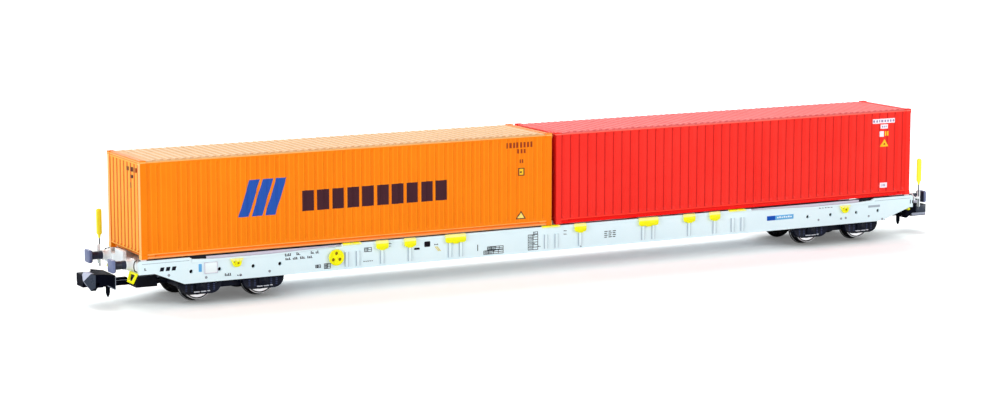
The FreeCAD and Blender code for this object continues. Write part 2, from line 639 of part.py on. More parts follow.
def turned(body, corners):
    """Turn an outline of (radius, distance along Y) about the Y axis."""
    feature = body.newObject("PartDesign::Revolution", "turning")
    sketch = sketch_on(body, "XY", "0", [corners])
    feature.Profile = sketch
    feature.ReferenceAxis = (sketch, ["V_Axis"])
    feature.Angle = 360
    doc.recompute()
    return feature


turned(wheel, list(wheel_outline))
other_wheel = mirror("other_wheel", wheel, ACROSS)
axle = new_body("axle")
journal = "Sizes.plate_outside - Sizes.end_play"
turned(axle, [
    ("0", "-(%s)" % journal), ("Sizes.journal_radius", "-(%s)" % journal),
    ("Sizes.journal_radius", "-Sizes.wheel_face"), ("Sizes.axle_radius", "-Sizes.wheel_face"),
    ("Sizes.axle_radius", "Sizes.wheel_face"), ("Sizes.journal_radius", "Sizes.wheel_face"),
    ("Sizes.journal_radius", journal), ("0", journal)])

wheelsets = (
    # number, side of the wagon's middle, side of the bogie's pivot
    (1, "-", "-"),
    (2, "-", "+"),
    (3, "", "-"),
    (4, "", "+"),
)
for number, wagon_side, bogie_side in wheelsets:
    along = "%s%s %s Sizes.wheelbase / 2" % (wagon_side, pivot_x, bogie_side)
    pair = group("pair", wheel, other_wheel)
    node(place(pair, along, "0", "Sizes.flange_radius"), "wheels_%d" % number)
    rod = group("axle_rod", axle)
    node(place(rod, along, "0", "Sizes.flange_radius"), "axle_%d" % number)

# ---------------------------------------------------------------- bogies
axle_x = "Sizes.wheelbase / 2"


def side_outline(crown):
    """Half outline of a bogie side with its spring case, from the low middle to the top."""
    def at(distance):
        return "%s %s" % (axle_x, distance)
    return [
        (at("- Sizes.case_half"), "Sizes.side_foot"),
        (at("- Sizes.case_knee"), "Sizes.knee_height"),
        (at("- Sizes.case_flat"), "Sizes.case_foot"),
        (at("+ Sizes.case_flat"), "Sizes.case_foot"),
        (at("+ Sizes.case_knee"), "Sizes.knee_height"),
        (at("+ Sizes.case_half"), "Sizes.plate_crown")] + crown


for end, turn in ends:
    bogie = new_body("bogie")
    rise = [
        (axle_x + " + Sizes.horn_half", "Sizes.plate_crown"),
        (axle_x + " + Sizes.horn_half", "Sizes.horn_crown")]
    pad(bogie, "XZ", "-Sizes.plate_outside", "-Sizes.plate_inside", both_ways(side_outline(rise)))
    pad(bogie, "XY", "Sizes.bolster_foot", "Sizes.plate_crown", [
        ("-Sizes.bolster_half", "-Sizes.plate_inside"), ("Sizes.bolster_half", "-Sizes.plate_inside"),
        ("Sizes.bolster_half", "Sizes.plate_inside"), ("-Sizes.bolster_half", "Sizes.plate_inside")])
    pad(bogie, "XZ", "Sizes.plate_inside", "Sizes.plate_outside", both_ways(side_outline(rise)))
    pad(bogie, "XY", "Sizes.plate_crown", "Sizes.boss_crown", ("0", "0", "Sizes.boss_radius"))
    tail_end = "Sizes.tail_place + Sizes.tail_depth"
    for side in ("-", ""):
        pad(bogie, "XZ", "-Sizes.plate_inside", "Sizes.plate_inside", [
            ("%sSizes.tail_place" % side, "Sizes.tail_foot"),
            ("%s(%s)" % (side, tail_end), "Sizes.tail_foot"),
            ("%s(%s)" % (side, tail_end), "Sizes.plate_crown"),
            ("%sSizes.tail_place" % side, "Sizes.plate_crown")])
        cheeks = []
        for flank in ("-", ""):
            near, far = flank + "Sizes.plate_inside", flank + "Sizes.plate_outside"
            root = "%s(%s + Sizes.case_half - Sizes.cheek_lap)" % (side, axle_x)
            cheeks.append([(root, near), (root, far), ("%s(%s)" % (side, tail_end), far),
                           ("%s(%s)" % (side, tail_end), near)])
        pad(bogie, "XY", "Sizes.tail_foot", "Sizes.plate_crown", *cheeks)
    pad(bogie, "XZ", "-Sizes.neck_half", "Sizes.neck_half", [
        (tail_end, "Sizes.tail_foot"), ("Sizes.pocket_start", "Sizes.tail_foot"),
        ("Sizes.pocket_start", "Sizes.plate_crown"), (tail_end, "Sizes.plate_crown")])
    pocket(bogie, "XY", "Sizes.bolster_foot", "Sizes.boss_crown",
           ("0", "0", "Sizes.pivot_radius + Sizes.pivot_play"))
    bores = [(side + axle_x, "Sizes.flange_radius", "Sizes.journal_radius + Sizes.journal_play")
             for side in ("-", "")]
    pocket(bogie, "XZ", "-Sizes.plate_outside", "Sizes.plate_outside", *bores)
    centre = {"front": pivot_x, "rear": "-" + pivot_x}[end]
    node(place(bogie, centre, turn=turn), "bogie_frame_" + end)

    cases = new_body("cases")
    pad(cases, "XZ", "-Sizes.case_outside", "-Sizes.plate_outside",
        both_ways(side_outline([(axle_x + " - Sizes.case_half", "Sizes.plate_crown")])))
    pair = group("case_pair", cases, mirror("cases_copy", cases, ACROSS))
    node(place(pair, centre, turn=turn), "spring_cases_" + end)

    shell = new_body("coupler_pocket")
    pad(shell, "XY", "Sizes.pocket_foot", "Sizes.pocket_crown", [
        ("Sizes.pocket_start", "-Sizes.pocket_half"), ("Sizes.pocket_end", "-Sizes.pocket_half"),
        ("Sizes.pocket_end", "Sizes.pocket_half"), ("Sizes.pocket_start", "Sizes.pocket_half")])
    slot_half = "(Sizes.pocket_half - Sizes.pocket_wall)"
    slot_foot = "Sizes.pocket_foot + Sizes.pocket_wall"
    slot_crown = "Sizes.pocket_crown - Sizes.pocket_wall"
    slot_start = "Sizes.pocket_start + Sizes.pocket_wall / 2"
    pocket(shell, "XY", slot_foot, slot_crown, [
        (slot_start, "-" + slot_half), ("Sizes.pocket_end", "-" + slot_half),
        ("Sizes.pocket_end", slot_half), (slot_start, slot_half)])
    pad(shell, "XY", slot_foot, slot_crown, ("Sizes.coupler_pivot", "0", "Sizes.coupler_pin"))
    node(place(shell, centre, turn=turn), "coupler_pocket_" + end)

    hook = new_body("coupler")
    bar_foot, bar_crown = slot_foot + " + Sizes.shank_gap", slot_crown + " - Sizes.shank_gap"
    pad(hook, "XY", bar_foot, bar_crown, ("0", "0", "Sizes.coupler_eye"))
    pad(hook, "XY", bar_foot, bar_crown, [
        ("0", "-Sizes.bar_half"), ("Sizes.head_step", "-Sizes.bar_half"),
        ("Sizes.head_step", "Sizes.bar_half"), ("0", "Sizes.bar_half")])
    pocket(hook, "XY", bar_foot, bar_crown, ("0", "0", "Sizes.coupler_pin + Sizes.coupler_play"))
    back = new_body("head_back")
    pad(back, "XZ", "-Sizes.head_half", "Sizes.head_half", [
        ("Sizes.head_start", "Sizes.head_foot"), ("Sizes.head_knee", "Sizes.head_foot"),
        ("Sizes.head_knee", "Sizes.catch_foot"), ("Sizes.head_step", "Sizes.catch_foot"),
        ("Sizes.head_step", "Sizes.head_crown"), ("Sizes.head_start", "Sizes.head_back")])
    lower_bar = box("lower_bar", ("Sizes.head_knee", "Sizes.head_tip"), ("-Sizes.head_half", "0"),
                    ("Sizes.head_foot", "Sizes.floor_crown"))
    catch_bar = box("catch_bar", ("Sizes.head_step", "Sizes.head_tip"), ("-Sizes.head_half", "0"),
                    ("Sizes.catch_foot", "Sizes.catch_neck"))
    catch = box("catch", ("Sizes.slot_end", "Sizes.head_tip"), ("-Sizes.head_half", "0"),
                ("Sizes.catch_foot", "Sizes.catch_crown"))
    nose_bar = box("nose_bar", ("Sizes.head_step", "Sizes.nose_side"), ("0", "Sizes.head_half"),
                   ("Sizes.catch_foot", "Sizes.nose_height"))
    nose = new_body("nose")
    pad(nose, "YZ", "Sizes.slot_end", "Sizes.head_tip", [
        ("Sizes.nose_inside", "Sizes.nose_height"), ("Sizes.nose_corner", "Sizes.floor_crown"),
        ("Sizes.head_half", "Sizes.catch_foot"), ("Sizes.head_half", "Sizes.head_crown"),
        ("Sizes.nose_corner", "Sizes.head_crown")])
    pocket(nose, "XY", "Sizes.head_foot", "Sizes.head_crown", [
        ("Sizes.head_tip", "Sizes.nose_inside"), ("Sizes.head_tip", "Sizes.head_half"),
        ("Sizes.nose_side", "Sizes.head_half")])
    drop_pin = cylinder("drop_pin", "Z", "Sizes.drop_place", "0", "Sizes.drop_foot",
                        "Sizes.drop_radius", "Sizes.head_foot - Sizes.drop_foot")
    whole = fuse("hook_and_head", hook, back, lower_bar, catch_bar, catch, nose_bar, nose, drop_pin)
    swing = "Sizes.coupler_pivot"
    hook_x = {"front": "%s + %s" % (pivot_x, swing), "rear": "-(%s + %s)" % (pivot_x, swing)}[end]
    node(place(group("coupler", whole), hook_x, turn=turn), "coupler_" + end)

# ---------------------------------------------------------------- containers
half_length, half_breadth = "(Sizes.box_length / 2)", "(Sizes.box_breadth / 2)"
face_x = "(%s - Sizes.post_inset)" % half_length
face_y = "(%s - Sizes.post_inset)" % half_breadth


# one groove of a wall: place in shares of the pitch, depth in shares of the wave's depth
groove = ((-0.24, 0.0), (-0.09, 1.0), (0.09, 1.0), (0.24, 0.0))


def wave_points(length, pitch, depth, plain):
    """Line with a groove at every pitch from its middle, but for the plain-th from each end."""
    reach = int((length / 2 + groove[0][0] * pitch) / pitch)
    points = [(-length / 2, 0.0)]
    for i in range(-reach, reach + 1):
        if reach + 1 - abs(i) != plain:
            points += [((i + share) * pitch, level * depth) for share, level in groove]
    points.append((length / 2, 0.0))
    return points


def sheet_metal(name, length, pitch, depth, height, plain=0):
    """A corrugated sheet: its line runs along X, its grooves sink to +Y and it rises along Z."""
    thickness = value("Sizes.wall_thickness")
    line = wave_points(length, pitch, depth, plain)
    outline = line + [(along, across + thickness) for along, across in reversed(line)]
    corners = [Vector(along, across, 0) for along, across in outline]
    wire = Part.makePolygon(corners + corners[:1])
    feature = doc.addObject("Part::Feature", name)
    feature.Shape = Part.Face(wire).extrude(Vector(0, 0, height))
    return feature


base_low, base_high = "Sizes.rail_foot", "Sizes.rail_tall"
crown_low = "(Sizes.box_tall - Sizes.roof_inset - Sizes.crown_tall)"
crown_high = "(Sizes.box_tall - Sizes.roof_inset)"
casting_x = "(%s - Sizes.casting_length)" % half_length
casting_y = "(%s - Sizes.casting_breadth)" % half_breadth
rail_x = "(%s - Sizes.rail_breadth)" % face_x
rail_y = "(%s - Sizes.rail_breadth)" % face_y


def ring(x, y, inner_x, inner_y):
    """An upright rectangle round an inner one, in plan."""
    return ([("-" + x, "-" + y), (x, "-" + y), (x, y), ("-" + x, y)],
            [("-" + inner_x, "-" + inner_y), (inner_x, "-" + inner_y), (inner_x, inner_y),
             ("-" + inner_x, inner_y)])


for colour, side in (("orange", "-"), ("red", "")):
    centre = "%s(%s + Sizes.box_gap / 2)" % (side, half_length)
    name = "container_%s_" % colour

    corners = []
    for along in ("-", ""):
        for across in ("-", ""):
            def span(sign, low, high):
                return ("-" + high, "-" + low) if sign else (low, high)
            post = box("post", span(along, casting_x, face_x), span(across, casting_y, face_y),
                       ("Sizes.casting_tall / 2", "Sizes.box_tall - Sizes.casting_tall / 2"))
            low = box("casting", span(along, casting_x, half_length),
                      span(across, casting_y, half_breadth), ("0", "Sizes.casting_tall"))
            high = box("casting", span(along, casting_x, half_length),
                       span(across, casting_y, half_breadth),
                       ("Sizes.box_tall - Sizes.casting_tall", "Sizes.box_tall"))
            corners.append(fuse("corner", post, low, high))
    node(place(group("corners", *corners), centre, z="Sizes.seat_height"), name + "corners")

    base = new_body("base")
    outer_ring, inner_ring = ring(face_x, face_y, rail_x, rail_y)
    pad(base, "XY", base_low, base_high, outer_ring, inner_ring)
    pad(base, "XY", base_low, base_low + " + Sizes.floor_thickness", inner_ring)
    notches = []
    for along in ("-", ""):
        for across in ("-", ""):
            notches.append([(along + casting_x, across + casting_y),
                            (along + half_length, across + casting_y),
                            (along + half_length, across + half_breadth),
                            (along + casting_x, across + half_breadth)])
    pocket(base, "XY", base_low, base_high, *notches)
    node(place(base, centre, z="Sizes.seat_height"), name + "base")

    crown = new_body("crown")
    inner_ring = ring(face_x, face_y, casting_x, rail_y)[1]
    pad(crown, "XY", crown_low, crown_high, outer_ring, inner_ring)
    pocket(crown, "XY", crown_low, crown_high, *notches)
    node(place(crown, centre, z="Sizes.seat_height"), name + "top_rails")

    inset = "Sizes.wall_inset"
    wall_height = value("%s - %s" % (crown_low, base_high))
    side_length = value("2 * %s" % casting_x)
    for wall, turn, across in (("right", 0, "-"), ("left", 180, "")):
        panel = sheet_metal("wall", side_length, value("Sizes.wall_pitch"),
                            value("Sizes.wall_wave"), wall_height, value("Sizes.plain_wave"))
        node(place(panel, centre, "%s(%s - %s)" % (across, face_y, inset),
                   "Sizes.seat_height + %s" % base_high, turn), name + wall + "_wall")
    end_length = value("2 * %s" % casting_y)
    front = sheet_metal("front_wall", end_length, value("Sizes.front_pitch"),
                        value("Sizes.wall_wave"), wall_height)
    node(place(front, "%s - (%s - %s)" % (centre, face_x, inset), "0",
               "Sizes.seat_height + %s" % base_high, -90), name + "front_wall")

    roof_length = value("2 * %s" % casting_x)
    roof = sheet_metal("roof", roof_length, value("Sizes.roof_pitch"), value("Sizes.roof_wave"),
                       value("2 * " + rail_y))
    roof.Placement = Placement(Vector(0, 0, 0), Rotation(Vector(1, 0, 0), -90))
    bind(roof, Placement__Base__x=centre, Placement__Base__y="-" + rail_y,
         Placement__Base__z="Sizes.seat_height + " + crown_high)
    node(roof, name + "roof")

    door_out = "(%s - Sizes.door_inset)" % face_x
    leaves = []
    for across in ("-", ""):
        near, far = across + "Sizes.door_gap / 2", across + casting_y
        low_y, high_y = (far, near) if across else (near, far)
        leaves.append(box("leaf", ("%s - Sizes.door_thickness" % door_out, door_out),
                          (low_y, high_y), (base_high, crown_low)))
    node(place(group("leaves", *leaves), centre, z="Sizes.seat_height"), name + "doors")

    rods = []
    for across in ("-", ""):
        middle = "%s(%s / 2)" % (across, casting_y)
        for shift in ("-", "+"):
            rods.append(cylinder("lock_rod", "Z", "%s + Sizes.rod_radius" % door_out,
                                 "%s %s Sizes.rod_spread / 2" % (middle, shift),
                                 base_high, "Sizes.rod_radius",
                                 "%s - %s" % (crown_low, base_high)))
    node(place(group("rods", *rods), centre, z="Sizes.seat_height"), name + "lock_rods")

doc.recompute()
for thing in doc.Objects:
    if "Invalid" in thing.State or "Error" in thing.State:
        raise RuntimeError("%s (%s) failed" % (thing.Name, thing.Label))
for thing in nodes:
    if thing.Shape.isNull() or not thing.Shape.isValid() or not thing.Shape.Solids:
        raise RuntimeError("%s has no valid solid" % thing.Label)

os.makedirs("parts", exist_ok=True)
for thing in nodes:
    thing.Shape.exportStep("parts/%s.step" % thing.Label)
print("%d nodes, %d solids" % (len(nodes), sum(len(thing.Shape.Solids) for thing in nodes)))
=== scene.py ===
import bpy, bmesh, math
from mathutils import Matrix, Vector


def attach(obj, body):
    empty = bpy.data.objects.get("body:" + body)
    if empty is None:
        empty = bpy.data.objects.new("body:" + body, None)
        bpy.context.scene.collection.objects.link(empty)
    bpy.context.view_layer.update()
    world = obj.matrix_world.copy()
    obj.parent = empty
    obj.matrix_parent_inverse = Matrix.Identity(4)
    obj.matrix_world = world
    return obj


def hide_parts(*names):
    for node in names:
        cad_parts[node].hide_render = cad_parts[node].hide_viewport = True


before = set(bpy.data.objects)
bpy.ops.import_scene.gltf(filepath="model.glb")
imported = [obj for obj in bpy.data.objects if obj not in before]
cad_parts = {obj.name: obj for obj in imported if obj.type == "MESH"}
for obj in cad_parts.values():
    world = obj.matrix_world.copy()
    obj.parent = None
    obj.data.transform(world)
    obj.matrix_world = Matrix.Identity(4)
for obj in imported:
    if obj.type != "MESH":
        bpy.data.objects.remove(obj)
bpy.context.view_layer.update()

mm = 0.001
wagon = "wagon_frame"
scene = bpy.context.scene
# how closely meshes are cleaned: doubled corners in metres, and faces that lie flat together
clean = {"doubles": 2e-6, "flat": math.radians(1), "sharp": math.radians(30)}


# small helpers

def tone(red, green, blue):
    # screen colour, 0 to 255, as a shader colour
    def linear(level):
        level /= 255
        return level / 12.92 if level <= 0.04045 else ((level + 0.055) / 1.055) ** 2.4
    return (linear(red), linear(green), linear(blue), 1)


def shapes(count):
    return [bmesh.new() for n in range(count)]


def joinInto(bm, part):
    # adds one small shape to a larger one
    holder = bpy.data.meshes.new("holder")
    part.to_mesh(holder)
    part.free()
    bm.from_mesh(holder)
    bpy.data.meshes.remove(holder)


def around(middle, half):
    return (middle - half, middle + half)


def span(sign, low, high):
    # a pair of places on the side that the sign gives
    return sorted((sign * low, sign * high))


def bevelled(bm, edges, offset, segments):
    bmesh.ops.bevel(bm, geom=edges, offset=offset, offset_type="OFFSET", segments=segments,
                    profile=0.5, affect="EDGES", material=-1, clamp_overlap=True)


def sharpEdges(bm, angle=clean["sharp"]):
    return [e for e in bm.edges if len(e.link_faces) == 2 and e.calc_face_angle() > angle]


def boxMesh(bm, x, y, z):
    # a block between pairs of millimetres
    made = bmesh.ops.create_cube(bm, size=1)["verts"]
    bmesh.ops.scale(bm, vec=[high - low for low, high in (x, y, z)], verts=made)
    bmesh.ops.translate(bm, vec=[(low + high) / 2 for low, high in (x, y, z)], verts=made)


def pillow(bm, x, y, z, axis="Y", corner=0.2, edge=0.05, segments=3):
    # a block with corners rounded about one axis and then its rims eased
    part = bmesh.new()
    boxMesh(part, x, y, z)

    def runs(item):
        line = item.verts[1].co - item.verts[0].co
        return abs(line["XYZ".index(axis)]) > 0.99 * line.length
    if corner:
        bevelled(part, [e for e in part.edges if runs(e)], corner, segments)
    if edge:
        bevelled(part, [e for e in part.edges if not runs(e)], edge, 2)
    joinInto(bm, part)


def lathe(bm, outline, centre, axis, steps=48):
    # turns (radius, along) points about an axis through the centre
    part = bmesh.new()
    axis = Vector(axis).normalized()
    side = axis.orthogonal().normalized()
    verts = [part.verts.new(Vector(centre) + side * r + axis * a) for r, a in outline]
    edges = [part.edges.new(pair) for pair in zip(verts, verts[1:])]
    bmesh.ops.spin(part, geom=verts + edges, cent=centre, axis=axis, dvec=(0, 0, 0),
                   angle=2 * math.pi, steps=steps, use_merge=True, use_duplicate=False)
    joinInto(bm, part)


def rod(bm, start, end, radius, sides=16):
    # a round bar between two points
    start, end = Vector(start), Vector(end)
    along = end - start
    turn = along.to_track_quat("Z", "Y").to_matrix().to_4x4()
    bmesh.ops.create_cone(bm, cap_ends=True, segments=sides, radius1=radius, radius2=radius,
                          depth=along.length, matrix=Matrix.Translation((start + end) / 2) @ turn)


def plate(bm, corners, depth, plane="XZ"):
    # a flat outline given depth; XZ outlines reach from depth[0] to depth[1] in Y, YZ ones in X
    low, high = depth
    if plane == "XZ":
        spots, push = [(a, low, b) for a, b in corners], (0, high - low, 0)
    else:
        spots, push = [(low, a, b) for a, b in corners], (high - low, 0, 0)
    face = bm.faces.new([bm.verts.new(spot) for spot in spots])
    made = bmesh.ops.extrude_face_region(bm, geom=[face])["geom"]
    bmesh.ops.translate(bm, vec=push,
                        verts=[item for item in made if isinstance(item, bmesh.types.BMVert)])


def eased(bm, corners, depth, edge=0.05, segments=2, plane="XZ"):
    # a plate with its sharp edges rounded
    part = bmesh.new()
    plate(part, corners, depth, plane)
    bmesh.ops.recalc_face_normals(part, faces=part.faces)
    bevelled(part, sharpEdges(part), edge, segments)
    joinInto(bm, part)


def hull(bm, points):
    # the tightest solid round a few points
    part = bmesh.new()
    bmesh.ops.convex_hull(part, input=[part.verts.new(p) for p in points])
    joinInto(bm, part)


def tube(bm, points, radius):
    # a bent round bar along a smooth line through control points
    curve = bpy.data.curves.new("tubeLine", "CURVE")
    curve.dimensions = "3D"
    spline = curve.splines.new("NURBS")
    spline.points.add(len(points) - 1)
    for point, place in zip(spline.points, points):
        point.co = (*place, 1)
    spline.order_u = 3
    spline.use_endpoint_u = True
    curve.bevel_depth = radius
    curve.bevel_resolution = 4
    curve.use_fill_caps = True
    holder = bpy.data.objects.new("tubeLine", curve)
    shape = bpy.data.meshes.new_from_object(holder)
    bm.from_mesh(shape)
    bpy.data.objects.remove(holder)
    bpy.data.curves.remove(curve)
    bpy.data.meshes.remove(shape)


def mirrored(*parts):
    # repeats everything on the other side of the wagon
    for bm in parts:
        bmesh.ops.mirror(bm, geom=bm.verts[:] + bm.edges[:] + bm.faces[:], axis="Y",
                         merge_dist=1e-5)


def turnedRound(shift, *parts):
    # repeats everything half a turn round the middle, moved along by the shift
    for bm in parts:
        copied = bmesh.ops.duplicate(bm, geom=bm.verts[:] + bm.edges[:] + bm.faces[:])["geom"]
        found = [item for item in copied if isinstance(item, bmesh.types.BMVert)]
        bmesh.ops.rotate(bm, verts=found, cent=(0, 0, 0), matrix=Matrix.Rotation(math.pi, 3, "Z"))
        bmesh.ops.translate(bm, verts=found, vec=(shift, 0, 0))


def joinFlat(bm):
    bmesh.ops.dissolve_limit(bm, angle_limit=clean["flat"], verts=bm.verts, edges=bm.edges,
                             use_dissolve_boundaries=False)


def cleanCopy(node):
    # a node of the frame with its doubled corners merged and its flat faces joined, in metres
    bm = bmesh.new()
    bm.from_mesh(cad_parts[node].data)
    bmesh.ops.remove_doubles(bm, verts=bm.verts, dist=clean["doubles"])
    joinFlat(bm)
    return bm


def finishPiece(name, bm, body, slot, material, stands=(), bevel=0.0, segments=2, angle=35,
                scaled=True):
    # merges, turns the faces outwards, makes the object and hangs it on its body
    if scaled:
        bmesh.ops.scale(bm, vec=(mm, mm, mm), verts=bm.verts)
    bmesh.ops.remove_doubles(bm, verts=bm.verts, dist=1e-7)
    bmesh.ops.recalc_face_normals(bm, faces=bm.faces)
    for face in bm.faces:
        face.smooth = True
    mesh = bpy.data.meshes.new(name)
    bm.to_mesh(mesh)
    bm.free()
    mesh.materials.append(material)
    mesh.set_sharp_from_angle(angle=math.radians(angle))
    piece = bpy.data.objects.new(name, mesh)
    scene.collection.objects.link(piece)
    if bevel:
        edges = piece.modifiers.new("roundedEdges", "BEVEL")
        edges.width = bevel * mm
        edges.segments = segments
        edges.limit_method = "ANGLE"
        edges.angle_limit = math.radians(angle)
        edges.profile = 0.5
        edges.harden_normals = True
    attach(piece, body)
    if stands:
        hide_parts(*stands)


def bothSides(name, bm, slot, material, stands=()):
    # a piece of the wagon with its twin on the other side
    mirrored(bm)
    finishPiece(name, bm, wagon, slot, material, stands)


def roundedCopy(node, name, body, slot, material, bevel=0.06):
    # a node of the frame with its edges rounded
    finishPiece(name, cleanCopy(node), body, slot, material, (node,), bevel, scaled=False)


# small helpers for shaders; tree is the node tree that each one adds to

def ramp(tree, source, low, high, toLow=0.0, toHigh=1.0, smooth=False):
    found = tree.nodes.new("ShaderNodeMapRange")
    if smooth:
        found.interpolation_type = "SMOOTHSTEP"
    for label, level in (("From Min", low), ("From Max", high), ("To Min", toLow),
                         ("To Max", toHigh)):
        found.inputs[label].default_value = level
    tree.links.new(source, found.inputs["Value"])
    return found.outputs[0]


def calculate(tree, operation, first, second=0.0):
    found = tree.nodes.new("ShaderNodeMath")
    found.operation = operation
    for socket, item in zip(found.inputs, (first, second)):
        if isinstance(item, (int, float)):
            socket.default_value = item
        else:
            tree.links.new(item, socket)
    return found.outputs[0]


def separated(tree, vector):
    found = tree.nodes.new("ShaderNodeSeparateXYZ")
    tree.links.new(vector, found.inputs[0])
    return found.outputs


def clamped(tree, value):
    found = tree.nodes.new("ShaderNodeClamp")
    tree.links.new(value, found.inputs["Value"])
    return found.outputs[0]


def objectPlace(tree):
    return tree.nodes.new("ShaderNodeTexCoord").outputs["Object"]


# camera
view = {"place": (-0.23276, -0.42212, 0.08460), "angles": (81.334, 0, -28.178), "lens": 99.07,
        "sensor": 36, "clip": (0.01, 50)}
camera = bpy.data.objects.new("camera", bpy.data.cameras.new("camera"))
scene.collection.objects.link(camera)
camera.location = view["place"]
camera.rotation_euler = [math.radians(angle) for angle in view["angles"]]
camera.data.lens = view["lens"]
camera.data.sensor_width = view["sensor"]
camera.data.clip_start, camera.data.clip_end = view["clip"]
bpy.context.scene.camera = camera
bpy.context.scene.view_settings.view_transform = "Standard"


# studio: white surroundings, three soft suns and a pale floor
studio = {"skyLevel": 0.55, "floorHalf": 4.0, "floorTone": 0.85, "floorSeen": 1.45,
          "floorGlow": 0.16, "floorTint": (0.955, 1.0, 1.01),
          "contactReach": 8 * mm, "contactDark": 0.1, "contactOpen": (0.12, 0.95),
          "contactSpan": ((45 * mm, 55 * mm), (75 * mm, 66 * mm))}
suns = (
    # name, where it comes from, strength, spread in degrees
    ("keySun", (0.15, 0.9, 0.85), 2.35, 45),
    ("rightSun", (0.9, -0.8, 0.35), 1.0, 25),
    ("leftSun", (-0.93, -0.4, 0.08), 1.95, 30))

world = bpy.data.worlds.new("whiteStudio")
scene.world = world
world.use_nodes = True
tree = world.node_tree
background = tree.nodes["Background"]
background.inputs["Color"].default_value = (1, 1, 1, 1)
path = tree.nodes.new("ShaderNodeLightPath").outputs
seen = calculate(tree, "MAXIMUM", path["Is Camera Ray"], path["Is Glossy Ray"])
tree.links.new(ramp(tree, seen, 0.0, 1.0, studio["skyLevel"]), background.inputs["Strength"])

for name, source, strength, spread in suns:
    sun = bpy.data.objects.new(name, bpy.data.lights.new(name, "SUN"))
    scene.collection.objects.link(sun)
    sun.data.energy = strength
    sun.data.angle = math.radians(spread)
    sun.rotation_euler = Vector(source).to_track_quat("Z", "Y").to_euler()

bm = bmesh.new()
bmesh.ops.create_grid(bm, x_segments=1, y_segments=1, size=studio["floorHalf"])
floorMesh = bpy.data.meshes.new("floor")
bm.to_mesh(floorMesh)
bm.free()
floor = bpy.data.objects.new("floor", floorMesh)
scene.collection.objects.link(floor)
floorPaint = bpy.data.materials.new("paleFloor")
floorPaint.use_nodes = True
tree = floorPaint.node_tree
tree.nodes.clear()
output, matt, glow, mixed, contact, cool = (tree.nodes.new("ShaderNode" + kind) for kind in (
    "OutputMaterial", "BsdfDiffuse", "Emission", "MixShader", "AmbientOcclusion", "VectorMath"))
seen = tree.nodes.new("ShaderNodeLightPath").outputs["Is Camera Ray"]
brightness = ramp(tree, seen, 0.0, 1.0, studio["floorTone"], studio["floorSeen"])
# darker where something stands close above, and only near the bogies
contact.samples = 8
contact.inputs["Distance"].default_value = studio["contactReach"]
dark = ramp(tree, contact.outputs["AO"], *studio["contactOpen"], 1 - studio["contactDark"], 0.0)
away = calculate(tree, "ABSOLUTE", separated(tree, objectPlace(tree))["X"])
for low, high in studio["contactSpan"]:
    dark = calculate(tree, "MULTIPLY", dark, ramp(tree, away, low, high, smooth=True))
shade = calculate(tree, "SUBTRACT", 1.0, dark)
# a touch of cool grey against the warm light thrown back by the containers
cool.operation = "SCALE"
cool.inputs[0].default_value = studio["floorTint"]
tree.links.new(calculate(tree, "MULTIPLY", brightness, shade), cool.inputs["Scale"])
tree.links.new(cool.outputs[0], matt.inputs["Color"])
tree.links.new(calculate(tree, "MULTIPLY", seen, studio["floorGlow"]), mixed.inputs["Fac"])
tree.links.new(matt.outputs[0], mixed.inputs[1])
tree.links.new(glow.outputs[0], mixed.inputs[2])
tree.links.new(mixed.outputs[0], output.inputs["Surface"])
floorMesh.materials.append(floorPaint)
print("studio and camera ready")


# finishes

def newGroup(name, inputs, outputs):
    # a socket that starts from None carries a colour, any other one a number
    tree = bpy.data.node_groups.new(name, "ShaderNodeTree")
    for side, sockets in (("INPUT", inputs), ("OUTPUT", outputs)):
        for label, start in sockets.items():
            kind = "NodeSocketColor" if start is None else "NodeSocketFloat"
            socket = tree.interface.new_socket(name=label, in_out=side, socket_type=kind)
            if start is not None:
                socket.default_value = start
    return (tree, tree.nodes.new("NodeGroupInput").outputs,
            tree.nodes.new("NodeGroupOutput").inputs)


def millimetres(tree):
    # object coordinates in millimetres
    scale = tree.nodes.new("ShaderNodeVectorMath")
    scale.operation = "SCALE"
    scale.inputs["Scale"].default_value = 1 / mm
    tree.links.new(objectPlace(tree), scale.inputs[0])
    return scale.outputs[0]


def noise(tree, vector, scale, detail, rough=0.5):
    found = tree.nodes.new("ShaderNodeTexNoise")
    found.inputs["Detail"].default_value = detail
    found.inputs["Roughness"].default_value = rough
    tree.links.new(vector, found.inputs["Vector"])
    if isinstance(scale, float):
        found.inputs["Scale"].default_value = scale
    else:
        tree.links.new(scale, found.inputs["Scale"])
    return found.outputs["Fac"]


def blendColour(tree, mask, first, second):
    found = tree.nodes.new("ShaderNodeMix")
    found.data_type = "RGBA"
    tree.links.new(mask, found.inputs["Factor"])
    for socket, item in ((found.inputs[6], first), (found.inputs[7], second)):
        if isinstance(item, tuple):
            socket.default_value = item
        else:
            tree.links.new(item, socket)
    return found.outputs[2]


def placeGroup(tree, group, sizes):
    # one use of a node group, with its numbers and colours
    found = tree.nodes.new("ShaderNodeGroup")
    found.node_tree = group
    for label, size in sizes.items():
        found.inputs[label].default_value = size
    return found.outputs


